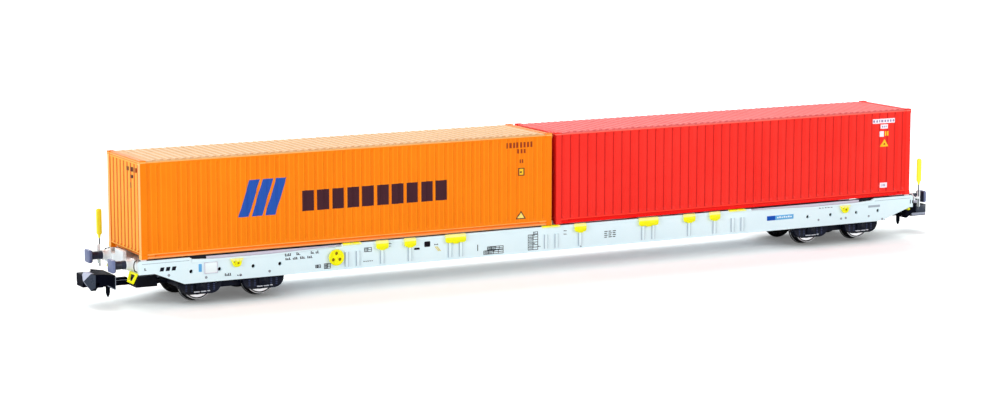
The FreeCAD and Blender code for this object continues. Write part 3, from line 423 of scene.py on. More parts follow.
# moulded and sprayed skin: fine grain, slow drift of colour, patches of gloss
sprayedSkin, given, made = newGroup(
    "sprayedSkin", {"Paint": None, "Shade": None, "Grain": 0.2, "Gloss": 0.3, "Matt": 0.45},
    {"Colour": None, "Roughness": 0.0, "Height": 0.0})
tree = sprayedSkin
where = millimetres(tree)
fine = noise(tree, where, calculate(tree, "DIVIDE", 1.0, given["Grain"]), 2.0)
slow = noise(tree, where, 0.11, 3.0, 0.6)
patches = noise(tree, where, 0.7, 4.0, 0.6)
drift = ramp(tree, slow, 0.3, 0.72)
specks = ramp(tree, fine, 0.35, 0.75, 0.0, 0.35)
mixture = calculate(tree, "MINIMUM", calculate(tree, "ADD", drift, specks), 1.0)
tree.links.new(blendColour(tree, mixture, given["Paint"], given["Shade"]), made["Colour"])
rough = tree.nodes.new("ShaderNodeMix")
tree.links.new(ramp(tree, patches, 0.3, 0.7), rough.inputs["Factor"])
tree.links.new(given["Gloss"], rough.inputs["A"])
tree.links.new(given["Matt"], rough.inputs["B"])
tree.links.new(rough.outputs["Result"], made["Roughness"])
tree.links.new(fine, made["Height"])

# a painted patch with straight edges, used for print and for painted highlights and shade, in
# millimetres along a side (or across an end) and up;
# its left and right edges may lean, and it may be broken into equal blocks
paintedPatch, given, made = newGroup(
    "paintedPatch", {"Left": 0.0, "Right": 1.0, "Foot": 0.0, "Crown": 1.0, "Lean Left": 0.0,
                     "Lean Right": 0.0, "Pitch": 1000.0, "Filled": 1.0, "Across": 0.0},
    {"Mask": 0.0})
tree = paintedPatch
x, y, z = separated(tree, millimetres(tree))
along = calculate(tree, "ADD", calculate(tree, "MULTIPLY", x, calculate(
    tree, "SUBTRACT", 1.0, given["Across"])), calculate(tree, "MULTIPLY", y, given["Across"]))
above = calculate(tree, "SUBTRACT", z, given["Foot"])
sides = [above, calculate(tree, "SUBTRACT", given["Crown"], z)]
for edge, sign in (("Left", 1.0), ("Right", -1.0)):
    lean = calculate(tree, "MULTIPLY", above, given["Lean " + edge])
    inside = calculate(tree, "SUBTRACT", along, calculate(tree, "ADD", given[edge], lean))
    sides.append(calculate(tree, "MULTIPLY", inside, sign))
within = calculate(tree, "FLOORED_MODULO", sides[2], given["Pitch"])
filled = calculate(tree, "MULTIPLY", given["Pitch"], given["Filled"])
sides.append(calculate(tree, "SUBTRACT", filled, within))
least = sides[0]
for item in sides[1:]:
    least = calculate(tree, "MINIMUM", least, item)
markFade = 0.05
tree.links.new(clamped(tree, calculate(tree, "DIVIDE", least, markFade)), made["Mask"])
# a patch that isn't broken up, and one with upright edges
whole, straight = (1000.0, 1.0), (0.0, 0.0)


def paintedMark(tree, colour, across, left, right, foot, crown, markColour, blocks=whole, leans=straight):
    patch = placeGroup(tree, paintedPatch, {
        "Left": left, "Right": right, "Foot": foot, "Crown": crown, "Lean Left": leans[0],
        "Lean Right": leans[1], "Pitch": blocks[0], "Filled": blocks[1], "Across": across})
    return blendColour(tree, patch["Mask"], colour, tone(*markColour))


def finishMaterial(name, paint, shade, gloss=0.32, matt=0.45, specular=0.5, metallic=0.0,
                   marks=(), across=0.0):
    material = bpy.data.materials.new(name)
    material.use_nodes = True
    tree = material.node_tree
    shader = tree.nodes["Principled BSDF"].inputs
    shader["Specular IOR Level"].default_value = specular
    shader["Metallic"].default_value = metallic
    skin = placeGroup(tree, sprayedSkin, {"Paint": tone(*paint), "Shade": tone(*shade),
                                          "Grain": 0.22, "Gloss": gloss, "Matt": matt})
    colour = skin["Colour"]
    for mark in marks:
        colour = paintedMark(tree, colour, across, *mark)
    tree.links.new(colour, shader["Base Color"])
    tree.links.new(skin["Roughness"], shader["Roughness"])
    bumps = tree.nodes.new("ShaderNodeBump")
    bumps.inputs["Strength"].default_value = 0.25
    bumps.inputs["Distance"].default_value = 0.01 * mm
    tree.links.new(skin["Height"], bumps.inputs["Height"])
    tree.links.new(bumps.outputs["Normal"], shader["Normal"])
    return material


frameGrey = finishMaterial("frameGrey", (232, 250, 255), (225, 246, 253), specular=0.4)
headGrey = finishMaterial("headGrey", (248, 253, 255), (242, 249, 253), specular=0.4)
# a lavender copy of the frame grey: painted shade for the deck under the containers and the rails
# along its edges
shadedFrameGrey = finishMaterial("shadedFrameGrey", (214, 208, 222), (202, 196, 214))
fittingYellow = finishMaterial("fittingYellow", (252, 252, 8), (250, 246, 4), gloss=0.28,
                               specular=0.2)
# a pale yellow for the tops of the locks and lashing bars: painted highlight
highlightYellow = finishMaterial("highlightYellow", (254, 253, 160), (252, 250, 138))
# a paler yellow for the shunters' paddles, so their shaded sides read lit: painted light
litPaddleYellow = finishMaterial("litPaddleYellow", (254, 254, 70), (252, 251, 52), specular=0.3)
bogieBlack = finishMaterial("bogieBlack", (3, 4, 10), (18, 23, 42), gloss=0.35, matt=0.55,
                            specular=0.14)
springBlueHighlight = finishMaterial("springBlueHighlight", (24, 30, 54), (62, 72, 108), gloss=0.3, matt=0.5,
                            specular=0.25)
couplerBlack = finishMaterial("couplerBlack", (5, 7, 16), (10, 12, 26), gloss=0.4, matt=0.55,
                              specular=0.02)
# pale, slate and edge colours on the black couplers: painted reflections and highlights
couplerPaleReflection = finishMaterial("couplerPaleReflection", (206, 210, 230), (186, 192, 214), gloss=0.15,
                              matt=0.25)
couplerSlateReflection = finishMaterial("couplerSlateReflection", (52, 64, 82), (36, 46, 64), gloss=0.25, matt=0.35,
                              specular=0.3)
couplerEdgeHighlight = finishMaterial("couplerEdgeHighlight", (176, 182, 200), (140, 148, 168), gloss=0.2, matt=0.3)
rubberBlack = finishMaterial("rubberBlack", (26, 24, 26), (40, 36, 36), gloss=0.5, matt=0.65)
lipHighlight = finishMaterial("lipHighlight", (226, 228, 236), (190, 194, 206), gloss=0.2)
steel = finishMaterial("plainSteel", (170, 170, 175), (140, 140, 146), gloss=0.25, metallic=1.0)
darkSteel = finishMaterial("darkSteel", (92, 96, 104), (74, 78, 88), gloss=0.3, metallic=0.4)
socketGrey = finishMaterial("socketGrey", (248, 251, 252), (238, 243, 246))
bufferGrey = finishMaterial("bufferGrey", (110, 121, 160), (92, 102, 142), gloss=0.3)
shankBlack = finishMaterial("shankBlack", (28, 32, 50), (44, 50, 72), gloss=0.3, specular=0.25)
# a brownish yellow for the fittings' openings: painted shade
openingShade = finishMaterial("openingShade", (176, 140, 30), (150, 112, 24), specular=0.1)
markGrey = finishMaterial("markGrey", (150, 156, 166), (132, 138, 150))
# a grey for lines: painted shade beside the sill ribs, and the grey line along the raised ends
lineGrey = finishMaterial("lineGrey", (172, 184, 196), (156, 170, 184))
markInk = finishMaterial("markInk", (8, 10, 18), (24, 26, 38), specular=0.05)
markBlack = finishMaterial("markBlack", (10, 8, 14), (30, 20, 32), specular=0.05)
markSky = finishMaterial("markSky", (96, 178, 232), (86, 166, 224))
markBlue = finishMaterial("markBlue", (20, 88, 190), (14, 76, 178), specular=0.1)
markPale = finishMaterial("markPale", (244, 254, 255), (238, 250, 254))
markYellow = finishMaterial("markYellow", (236, 224, 130), (226, 210, 110))
wheelMetal = finishMaterial("wheelMetal", (60, 60, 66), (90, 90, 96), gloss=0.25, metallic=0.6)


# bands of finish round an axle: bright where a polished band is, dark elsewhere
wheel = {"places": {1: -66.1, 2: -54.9, 3: 54.9, 4: 66.1}, "height": 3.15, "bandFrom": 4.05,
         "bandSharpness": 40.0, "tyreBands": ((2.56, 2.7), (2.98, 3.06)),
         "centreBands": ((1.94, 2.39),), "bolts": 8, "boltCircle": 1.4, "firstBolt": 10}
ringBand, given, made = newGroup("ringBand", {"Centre": 0.0, "Inner": 1.0, "Outer": 2.0},
                                 {"Mask": 0.0})
tree = ringBand
x, y, z = separated(tree, millimetres(tree))
across = calculate(tree, "SUBTRACT", x, given["Centre"])
up = calculate(tree, "SUBTRACT", z, wheel["height"])
distance = calculate(tree, "SQRT", calculate(
    tree, "ADD", calculate(tree, "MULTIPLY", across, across), calculate(tree, "MULTIPLY", up, up)))
inside = calculate(tree, "SUBTRACT", distance, given["Inner"])
outside = calculate(tree, "SUBTRACT", given["Outer"], distance)
outward = calculate(tree, "SUBTRACT", calculate(tree, "ABSOLUTE", y), wheel["bandFrom"])
least = calculate(tree, "MINIMUM", calculate(tree, "MINIMUM", inside, outside), outward)
tree.links.new(clamped(tree, calculate(tree, "MULTIPLY", least, wheel["bandSharpness"])),
               made["Mask"])


def bandedMaterial(name, centre, dark, bands, gloss):
    material = finishMaterial(name, dark, dark, gloss=gloss, matt=gloss + 0.15)
    tree = material.node_tree
    shader = tree.nodes["Principled BSDF"].inputs
    mask = 0.0
    for inner, outer in bands:
        band = placeGroup(tree, ringBand, {"Centre": centre, "Inner": inner, "Outer": outer})
        mask = calculate(tree, "MAXIMUM", band["Mask"], mask)
    skin = shader["Base Color"].links[0].from_socket
    tree.links.new(blendColour(tree, mask, skin, tone(252, 252, 255)), shader["Base Color"])
    tree.links.new(mask, shader["Metallic"])
    return material


tyreMaterials, wheelBlack = {}, {}
for number, along in wheel["places"].items():
    tyreMaterials[number] = bandedMaterial("tyre%d" % number, along, (10, 10, 14),
                                           wheel["tyreBands"], 0.2)
    wheelBlack[number] = bandedMaterial("wheelCentre%d" % number, along, (8, 8, 12),
                                        wheel["centreBands"], 0.12)
print("finishes ready")

finishes = {"frame_grey": frameGrey, "fittings_yellow": fittingYellow, "screw_steel": steel,
            "socket_grey": socketGrey, "buffer_black": bufferGrey, "bogie_black": bogieBlack,
            "coupler_black": couplerBlack, "wheel_metal": wheelMetal}

# sills
# just behind the sills' outer faces, where what lies on them begins
sillSkin = -7.88
sill = {"face": 7.9, "foot": 3.62, "lipEnd": 49.6, "lipCrown": 3.86, "lipProud": 0.07}

for side in ("right", "left"):
    roundedCopy("side_sill_" + side, "sill_" + side, wagon, "frame_grey", frameGrey, 0.05)

bm = bmesh.new()
outer, inner = -sill["face"] - sill["lipProud"], -sill["face"] + 0.05
end, foot, crown = sill["lipEnd"], sill["foot"], sill["lipCrown"]
eased(bm, [(-end - 0.4, foot), (end + 0.4, foot), (end, crown), (-end, crown)], (outer, inner),
      0.03)
# folded stiffener along the top of the sill's high middle
eased(bm, [(-40.9, 7.5), (40.9, 7.5), (40.9, 7.7), (-40.9, 7.7)], (outer + 0.03, inner), 0.03)
bothSides("sill_lips", bm, "frame_grey", frameGrey)

# small round dimples near the foot of the sills
dimples = ((-65.5, 4.4), (-59.4, 4.3), (-54.2, 4.5), (55.8, 4.85), (60.85, 4.7), (61.9, 4.75),
           (67.1, 4.7), (70.2, 3.95), (-72.0, 5.3))
bm = bmesh.new()
for along, up in dimples:
    lathe(bm, ((0, 0), (0.1, 0), (0.17, 0.03), (0.2, 0.03), (0.22, 0.0), (0.22, -0.05), (0, -0.05)),
          (along, -7.9, up), (0, -1, 0), 16)
bothSides("sill_dimples", bm, "frame_grey", markGrey)

# marks on the sills: plain bars, plates and tables
barRows = (
    # left, right, foot, crown, how many short bars in the row
    (-73.6, -70.5, 6.05, 6.7, 3), (-76.2, -75.7, 6.4, 6.8, 1),
    (-51.4, -49.9, 6.75, 7.2, 1), (-49.3, -48.3, 6.8, 7.25, 1), (-46.7, -44.9, 6.8, 7.25, 2),
    (-51.3, -46.0, 6.1, 6.5, 4), (-62.2, -60.6, 4.35, 4.8, 1), (-60.0, -59.0, 4.2, 4.4, 2),
    (-37.0, -35.1, 4.65, 4.8, 5), (-32.4, -31.4, 7.3, 7.6, 1), (-32.4, -31.6, 6.9, 7.05, 1),
    (-23.6, -22.8, 6.45, 6.65, 3), (1.8, 2.7, 6.3, 6.45, 1), (1.8, 2.7, 6.9, 7.05, 1),
    (5.1, 5.7, 3.9, 4.05, 1), (55.9, 59.1, 6.95, 7.1, 5),
    (-3.3, -2.6, 4.55, 4.7, 1), (76.5, 76.75, 6.4, 7.1, 1), (77.0, 77.25, 6.4, 7.0, 1))
darkPlates = ((-27.45, -26.4, 5.9, 6.25), (-25.5, -24.4, 6.25, 7.2))
tables = (
    # left, right, foot, crown, rows, columns
    (-45.9, -44.9, 4.3, 4.85, 2, 2), (-44.3, -43.1, 4.05, 4.95, 3, 2),
    (-36.85, -35.45, 6.3, 7.05, 2, 2), (-14.1, -10.2, 3.98, 4.7, 2, 4),
    (-13.4, -10.2, 4.7, 5.35, 2, 4), (-5.35, -3.35, 4.05, 6.8, 6, 2), (-4.3, -3.4, 6.8, 7.25, 1, 1))
# depths of what is printed or laid on a sill, from the front to behind the face
inkDepth, plateDepth, proudDepth = (-7.925, -7.89), (-7.94, -7.89), (-7.95, -7.89)
tick = {"pitch": 0.3, "width": 0.15, "line": 0.07}

bm = bmesh.new()
for left, right, foot, crown, count in barRows:
    step = (right - left) / count
    for i in range(count):
        start = left + i * step
        if crown - foot > 0.55:
            eased(bm, [(start, foot), (start + step * 0.66, foot), (start + step * 0.84, crown),
                       (start + step * 0.18, crown)], inkDepth, 0.01, 1)
            continue
        # a row of fine upright ticks, underlined
        for k in range(max(1, int(step * 0.84 / tick["pitch"]))):
            along = start + k * tick["pitch"]
            drop = (crown - foot) * (0.0, 0.3, 0.0, 0.0, 0.22)[(k + i) % 5]
            boxMesh(bm, (along, along + tick["width"]), inkDepth, (foot, crown - drop))
        boxMesh(bm, (start, start + step * 0.7), (inkDepth[0] + 0.003, inkDepth[1]),
                (foot, foot + tick["line"]))
for i in range(4):
    for j in range(3):
        start = 10.05 + j * 0.85
        pillow(bm, (start, start + 0.55 + 0.1 * ((i + j) % 2)), inkDepth,
               (5.1 + 0.34 * i, 5.24 + 0.34 * i), "Y", 0.04, 0, 2)
for left, right, foot, crown, rows, columns in tables:
    line = 0.09
    for i in range(rows + 1):
        level = foot + (crown - foot - line) * i / rows
        boxMesh(bm, (left, right), inkDepth, (level, level + line))
    for i in range(columns + 1):
        start = left + (right - left - line) * i / columns
        boxMesh(bm, (start, start + line), (inkDepth[0] + 0.004, inkDepth[1]), (foot, crown))
    for i in range(rows):
        middle = foot + (crown - foot) * (i + 0.5) / rows
        pillow(bm, (left + 0.2, left + (right - left) * (0.45 + 0.12 * (i % 3))), inkDepth,
               around(middle, 0.045), "Y", 0.03, 0, 2)
boxMesh(bm, (-15.3, -15.17), inkDepth, (4.75, 5.85))
mirrored(bm)
bmesh.ops.recalc_face_normals(bm, faces=bm.faces)
finishPiece("sill_bars", bm, wagon, "frame_grey", markInk)

bm = bmesh.new()
for left, right, foot, crown in darkPlates:
    pillow(bm, (left, right), plateDepth, (foot, crown), "Y", 0.14, 0.01, 3)
pillow(bm, (-25.2, -24.7), proudDepth, (6.5, 6.95), "Y", 0.05, 0, 2)
bothSides("sill_dark_plates", bm, "frame_grey", markBlack)

bm = bmesh.new()
pillow(bm, (-66.8, -66.25), plateDepth, (5.42, 6.72), "Y", 0.04, 0.01, 2)
finishPiece("sill_blue_tag", bm, wagon, "frame_grey", markSky)
bm, pale = shapes(2)
for shape, ends in ((bm, (44.4, 46.2)), (pale, (46.2, 50.2))):
    pillow(shape, ends, proudDepth, (5.52, 6.36), "Y", 0.03, 0.01, 2)
turnedRound(0, bm, pale)
finishPiece("sill_blue_plates", bm, wagon, "frame_grey", markBlue)
finishPiece("sill_sky_plates", pale, wagon, "frame_grey", markSky)
bm = bmesh.new()
for i in range(7):
    boxMesh(bm, (46.6 + 0.48 * i, 46.92 + 0.48 * i), (-7.96, -7.93), (5.84, 6.06 + 0.08 * (i % 2)))
finishPiece("sill_plate_bars", bm, wagon, "frame_grey", markPale)
bm = bmesh.new()
for start in (-23.6, -23.25):
    eased(bm, [(start, 6.2), (start + 0.22, 6.2), (start + 0.95, 5.35), (start + 0.73, 5.35)],
          plateDepth, 0.01, 1)
bothSides("sill_yellow_strokes", bm, "fittings_yellow", markYellow)

# grey lines along both sides of the ribs under the locks: painted shade
bm = bmesh.new()
ribs = (-40.15, -38.05, -33.55, -28.3, -20.65, -18.55, -1.8, 0.3, 5.05, 18.0, 20.1, 27.6, 33.0,
        36.9, 39.0)
for along in ribs:
    for side, deep in ((-0.27, 0.05), (0.27, 0.09)):
        pillow(bm, around(along + side, deep / 2), (-8.09, sillSkin), (4.1, 6.6), "Y", 0, 0)
bothSides("sill_rib_shade_lines", bm, "frame_grey", lineGrey)

# dark discs at the back of the round holes of the sills: painted shade inside the holes
bm = bmesh.new()
for along in (-68.1, -63.1, -57.1, -52.3, 53.4, 58.5, 64.3, 69.2):
    lathe(bm, ((0, 0), (0.5, 0), (0.5, 0.08), (0.36, 0.12), (0, 0.12)), (along, -7.38, 5.6),
          (0, -1, 0), 24)
bothSides("sill_hole_shade", bm, "bogie_black", markBlack)

# rails along the deck's edges, in the lavender frame grey that paints shade on them; dark blocks
# beyond their ends and dark strips behind them, along the ends and along the middle, stand in for
# the shade in those openings and gaps
deckEdge = {"rail": (40.8, 65.2), "box": (65.1, 68.6), "end": (68.5, 76.9)}
rails, darkShadeBlocks = shapes(2)
for sign in (-1, 1):
    pillow(rails, span(sign, *deckEdge["rail"]), (-7.36, -7.2), (6.9, 7.84), "X", 0.03, 0.02)
    pillow(darkShadeBlocks, span(sign, *deckEdge["box"]), (-7.1, -6.7), (6.2, 7.99), "X", 0.06, 0.04)
    boxMesh(darkShadeBlocks, span(sign, *deckEdge["rail"]), (-7.19, -7.0), (7.5, 8.0))
    boxMesh(darkShadeBlocks, span(sign, *deckEdge["end"]), (-7.3, -7.1), (7.55, 8.06))
boxMesh(darkShadeBlocks, around(0, deckEdge["rail"][0]), (-7.3, -7.1), (7.6, 8.02))
mirrored(rails, darkShadeBlocks)
finishPiece("deck_edge_rails", rails, wagon, "frame_grey", shadedFrameGrey)

# strips that carry the sill tops up to the containers
bm = bmesh.new()
for sign in (-1, 1):
    line = [(sign * a, b) for a, b in ((41.0, 7.6), (41.0, 7.72), (54.0, 7.36), (63.5, 7.4),
                                       (68.1, 7.62), (68.1, 6.95), (54.0, 6.95))]
    eased(bm, line, (-7.9, -7.5), 0.02)
boxMesh(bm, (-41.0, 41.0), (sillSkin, -7.5), (7.7, 7.96))
for sign in (-1, 1):
    boxMesh(bm, span(sign, 68.3, 77.0), (-7.87, -7.5), (7.7, 7.94))
bothSides("sill_top_strips", bm, "frame_grey", frameGrey)

# grey line along the top of the raised ends, and a grey strip below the rise
bm = bmesh.new()
for sign in (-1, 1):
    boxMesh(bm, span(sign, 68.4, 76.6), (-7.915, -7.6), (7.42, 7.5))
pillow(bm, (66.95, 69.6), plateDepth, (6.3, 6.7), "Y", 0.05, 0.01, 2)
bothSides("sill_end_grey_lines", bm, "frame_grey", lineGrey)

# gussets under the front right and rear left ends of the sills
bm = bmesh.new()
line = [(69.0, 3.7), (70.5, 3.72), (76.6, 5.76), (74.2, 5.8), (69.2, 4.2)]
for turn in (1, -1):
    eased(bm, [(turn * a, b) for a, b in line], span(turn, -7.88, -7.5), 0.03)
finishPiece("sill_end_gussets", bm, wagon, "frame_grey", frameGrey)
# the dark blocks and strips: painted shade under the containers
finishPiece("dark_shade_blocks", darkShadeBlocks, wagon, "bogie_black", bogieBlack)

# frame between the sills
for node, bevel, paint in (
        ("sill_flanges", 0.05, frameGrey), ("cross_beams", 0.06, frameGrey),
        ("centre_girder", 0.08, frameGrey), ("body_bolsters", 0.05, frameGrey),
        ("headstock_front", 0.07, headGrey), ("headstock_rear", 0.07, headGrey)):
    roundedCopy(node, node + "_eased", wagon, "frame_grey", paint, bevel)
# the bogie decks in the lavender frame grey, painted shade
roundedCopy("bogie_decks", "bogie_decks_eased", wagon, "frame_grey", shadedFrameGrey, 0.05)
roundedCopy("pivot_screws", "pivot_screws_eased", wagon, "screw_steel", steel, 0.06)
roundedCopy("brake_shaft", "brake_shaft_eased", wagon, "screw_steel", steel, 0.03)
print("frame ready")

# container locks: hanging, wide and laid ones
locks = {"rows": ((-39.1, 3.4, "laid"), (-33.55, 2.3, "hung"), (-28.3, 2.2, "hung"),
                  (-19.6, 3.9, "wide"), (-0.75, 3.6, "laid"), (5.05, 2.35, "hung"),
                  (19.05, 3.95, "wide"), (27.6, 2.4, "hung"), (33.0, 2.2, "hung"),
                  (37.95, 3.6, "laid")),
         "face": -8.45, "foot": 6.6, "crown": 8.09, "capFoot": 7.5, "corner": 0.46}

bm, caps = shapes(2)
for along, width, kind in locks["rows"]:
    left, right = along - width / 2, along + width / 2
    if kind == "laid":
        # a flat tray on the sill's edge with two folded plungers and a pin
        # the tray and the block at its end in pale yellow: painted highlight
        pillow(caps, (left, right), (-8.1, -6.62), (7.74, 7.92), "Y", 0.05, 0.03)
        for start, end in ((left + 0.15, along - 0.2), (along + 0.35, right - 0.5)):
            pillow(bm, (start, end), (-8.08, -7.3), (7.86, 8.1), "X", 0.08, 0.03)
        pillow(caps, (right - 0.42, right - 0.05), (-8.09, -7.0), (7.86, 8.08), "X", 0.06, 0.03)
        rod(bm, (left + 0.3, -7.75, 8.0), (right - 0.55, -7.75, 8.0), 0.09, 12)
        continue
    # body: rounded below, sloping back to a cap in pale yellow, a painted highlight
    pillow(bm, (left, right), (locks["face"], sillSkin), (locks["foot"], locks["capFoot"] + 0.1),
           "Y", locks["corner"], 0.22, 5)
    eased(bm, [(sillSkin, 7.2), (-8.4, 7.2), (-8.4, 7.5), (-8.2, 7.8), (sillSkin, 7.8)],
          (left + 0.12, right - 0.12), 0.06, plane="YZ")
    eased(caps, [(-7.86, 7.5), (-8.3, 7.5), (-8.4, 7.62), (-8.36, 7.78), (-8.12, locks["crown"]),
                 (-7.86, locks["crown"])], (left + 0.02, right - 0.02), 0.12, 3, plane="YZ")
    # hinge ears at both ends and a grip below
    for end in (left + 0.18, right - 0.18):
        rod(bm, (end - 0.12, -8.2, 7.42), (end + 0.12, -8.2, 7.42), 0.2, 14)
    pillow(bm, around(along, 0.5), (-8.38, -8.0), (6.46, 6.74), "Y", 0.12, 0.05)
mirrored(bm, caps)
finishPiece("container_locks", bm, wagon, "fittings_yellow", fittingYellow,
            ("container_locks_right", "container_locks_left"))
finishPiece("container_lock_caps", caps, wagon, "fittings_yellow", highlightYellow)

# brake hand wheels
handWheel = {"place": (-42.1, 5.85), "web": 8.26, "webFrom": 8.3, "opening": 1.0}
x, z = handWheel["place"]
bm = bmesh.new()
lathe(bm, ((1.02, 0.06), (1.08, 0.2), (1.21, 0.33), (1.32, 0.3), (1.38, 0.18), (1.33, 0.06),
           (1.21, 0.0), (1.08, 0.03), (1.02, 0.06)), (x, -8.07, z), (0, -1, 0), 64)
lathe(bm, ((0, 0.34), (0.16, 0.33), (0.27, 0.27), (0.31, 0.16), (0.31, 0.0), (0, 0.0)),
      (x, -8.05, z), (0, -1, 0), 32)
bothSides("hand_wheel_rims", bm, "fittings_yellow", fittingYellow)

# the web is thinner than the rim
disc = cleanCopy("hand_wheels")
for vert in disc.verts:
    if abs(vert.co.y) > handWheel["webFrom"] * mm:
        vert.co.y = math.copysign(handWheel["web"] * mm, vert.co.y)
finishPiece("hand_wheel_discs", disc, wagon, "fittings_yellow", fittingYellow, ("hand_wheels",),
            0.04, scaled=False)
# a brownish disc behind the web's openings: painted shade seen through them
bm = bmesh.new()
reach = handWheel["opening"]
lathe(bm, ((0, 0), (reach, 0), (reach, 0.05), (0, 0.05)), (x, -8.06, z), (0, 1, 0), 32)
bothSides("hand_wheel_opening_shade", bm, "fittings_yellow", openingShade)

# lashing brackets: a bar with a tapering hook below it
brackets = {"places": (-60.1, 61.6), "crown": 7.15, "bar": 6.68, "half": 1.12}
bm, caps = shapes(2)
for along in brackets["places"]:
    pillow(bm, around(along, 0.95), (-8.2, sillSkin), (brackets["bar"], brackets["crown"] - 0.1),
           "Y", 0.08, 0.05)
    # the bar and the lobes on it in pale yellow: painted highlight
    pillow(caps, around(along, brackets["half"]), (-8.24, sillSkin),
           (brackets["crown"] - 0.26, brackets["crown"]), "Y", 0.1, 0.06)
    eased(bm, [(along - 0.66, brackets["bar"] + 0.1), (along + 0.66, brackets["bar"] + 0.1),
               (along + 0.55, 6.1), (along + 0.32, 5.86), (along - 0.32, 5.86),
               (along - 0.55, 6.1)], (-8.06, sillSkin), 0.05)
    tube(bm, [(along + x, y, z) for x, y, z in (
        (-0.72, -8.02, 6.95), (-0.74, -8.14, 6.5), (-0.5, -8.16, 5.95), (0, -8.16, 5.84),
        (0.5, -8.16, 5.95), (0.74, -8.14, 6.5), (0.72, -8.02, 6.95))], 0.15)
    for lobe in (-0.55, 0.1, 0.7):
        pillow(caps, (along + lobe - 0.25, along + lobe + 0.2), (-8.28, -7.9),
               (brackets["crown"] - 0.45, brackets["crown"] - 0.12), "Y", 0.12, 0.06)
mirrored(bm, caps)
finishPiece("lashing_hooks", bm, wagon, "fittings_yellow", fittingYellow, ("lashing_brackets",))
finishPiece("lashing_bars", caps, wagon, "fittings_yellow", highlightYellow)
# brownish spots in the hooks' eyes: painted shade
bm = bmesh.new()
for along in brackets["places"]:
    pillow(bm, (along + 0.12, along + 0.42), (-8.1, -8.04), (6.2, 6.5), "Y", 0.1, 0)
    pillow(bm, (along - 0.5, along - 0.3), (-8.1, -8.04), (6.5, 6.66), "Y", 0.06, 0)
bothSides("lashing_hook_eye_shade", bm, "fittings_yellow", openingShade)

# label boxes: a frame with a clip and a blank card behind it
label = {"left": -65.82, "right": -63.5, "foot": 5.04, "crown": 6.9, "bar": 0.1}
bm, card, flap = shapes(3)
left, right, foot, crown, bar = label.values()
for x0, x1, z0, z1 in ((left, left + bar, foot, crown), (right - bar, right, foot, crown),
                       (left, right, foot, foot + bar), (left, right, crown - bar * 0.7, crown)):
    pillow(bm, (x0, x1), (-8.06, sillSkin), (z0, z1), "Y", 0.02, 0.02, 1)
pillow(card, (left + 0.05, right - 0.05), (-8.0, sillSkin), (foot + 0.05, crown - 0.05), "Y", 0.03,
       0.01)
eased(flap, [(left + 0.35, 6.98), (left + 1.0, 7.28), (left + 1.3, 7.28), (right - 0.25, 6.98),
             (right - 0.6, 6.86), (left + 0.7, 6.86)], (-7.98, -7.86), 0.03)
turnedRound(0, bm, card, flap)
# the label frames take the same lavender grey
finishPiece("label_frames", bm, wagon, "frame_grey", shadedFrameGrey)
finishPiece("label_cards", card, wagon, "frame_grey", markPale, ("label_boxes",))
finishPiece("label_flaps", flap, wagon, "frame_grey", frameGrey)

# steps and shunters' handles; the steps on the handle corners are smaller and stand further in
smallStep = {"size": 0.6, "inwards": 0.85 * mm}
roundedCopy("corner_steps", "corner_steps_eased", wagon, "fittings_yellow", fittingYellow, 0.09)
for sign in (-1, 1):
    small = [v for v in bpy.data.objects["corner_steps_eased"].data.vertices
             if v.co.x * sign > 0 and v.co.y * sign < 0]
    middle = sum((v.co for v in small), Vector()) / len(small)
    top = max(v.co.z for v in small)
    for vertex in small:
        vertex.co.y = middle.y + (vertex.co.y - middle.y) * smallStep["size"]
        vertex.co.z = top + (vertex.co.z - top) * smallStep["size"]
        vertex.co.x -= sign * smallStep["inwards"]
handle = {"place": (-78.3, 7.3), "paddle": (10.25, 14.72), "frontShift": 0.6}
x, y = handle["place"]
paddles, rods, guards = shapes(3)
# the paddles are finished in the paler yellow that paints light on them
pillow(paddles, around(x, 0.46), around(y, 0.24), handle["paddle"], "Y", 0.4, 0.12, 5)
lathe(paddles, ((0, 9.75), (0.17, 9.75), (0.2, 9.9), (0.26, 10.25), (0.2, 10.7), (0, 10.8)),
      (x, y, 0), (0, 0, 1), 20)
rod(rods, (x, y, 5.02), (x, y, 10.0), 0.12, 16)
rod(guards, (x, y, 7.3), (-77.15, y, 7.3), 0.14, 16)
pillow(guards, around(x, 0.22), around(y, 0.18), (7.08, 7.52), "Z", 0.1, 0.04)
pillow(guards, (-77.34, -77.15), (y - 0.13, y + 0.35), (6.9, 7.6), "X", 0.1, 0.04)
pillow(guards, (x - 0.5, x + 0.06), (y - 0.32, y - 0.12), (5.5, 8.75), "Y", 0.12, 0.04)
pillow(guards, around(x, 0.3), (y - 0.3, y - 0.1), (7.0, 7.6), "Y", 0.1, 0.04)
turnedRound(handle["frontShift"], paddles, rods, guards)
finishPiece("shunter_paddles", paddles, wagon, "fittings_yellow", litPaddleYellow,
            ("shunter_handles",))
finishPiece("shunter_rods", rods, wagon, "screw_steel", darkSteel)
finishPiece("shunter_rod_guards", guards, wagon, "frame_grey", headGrey)

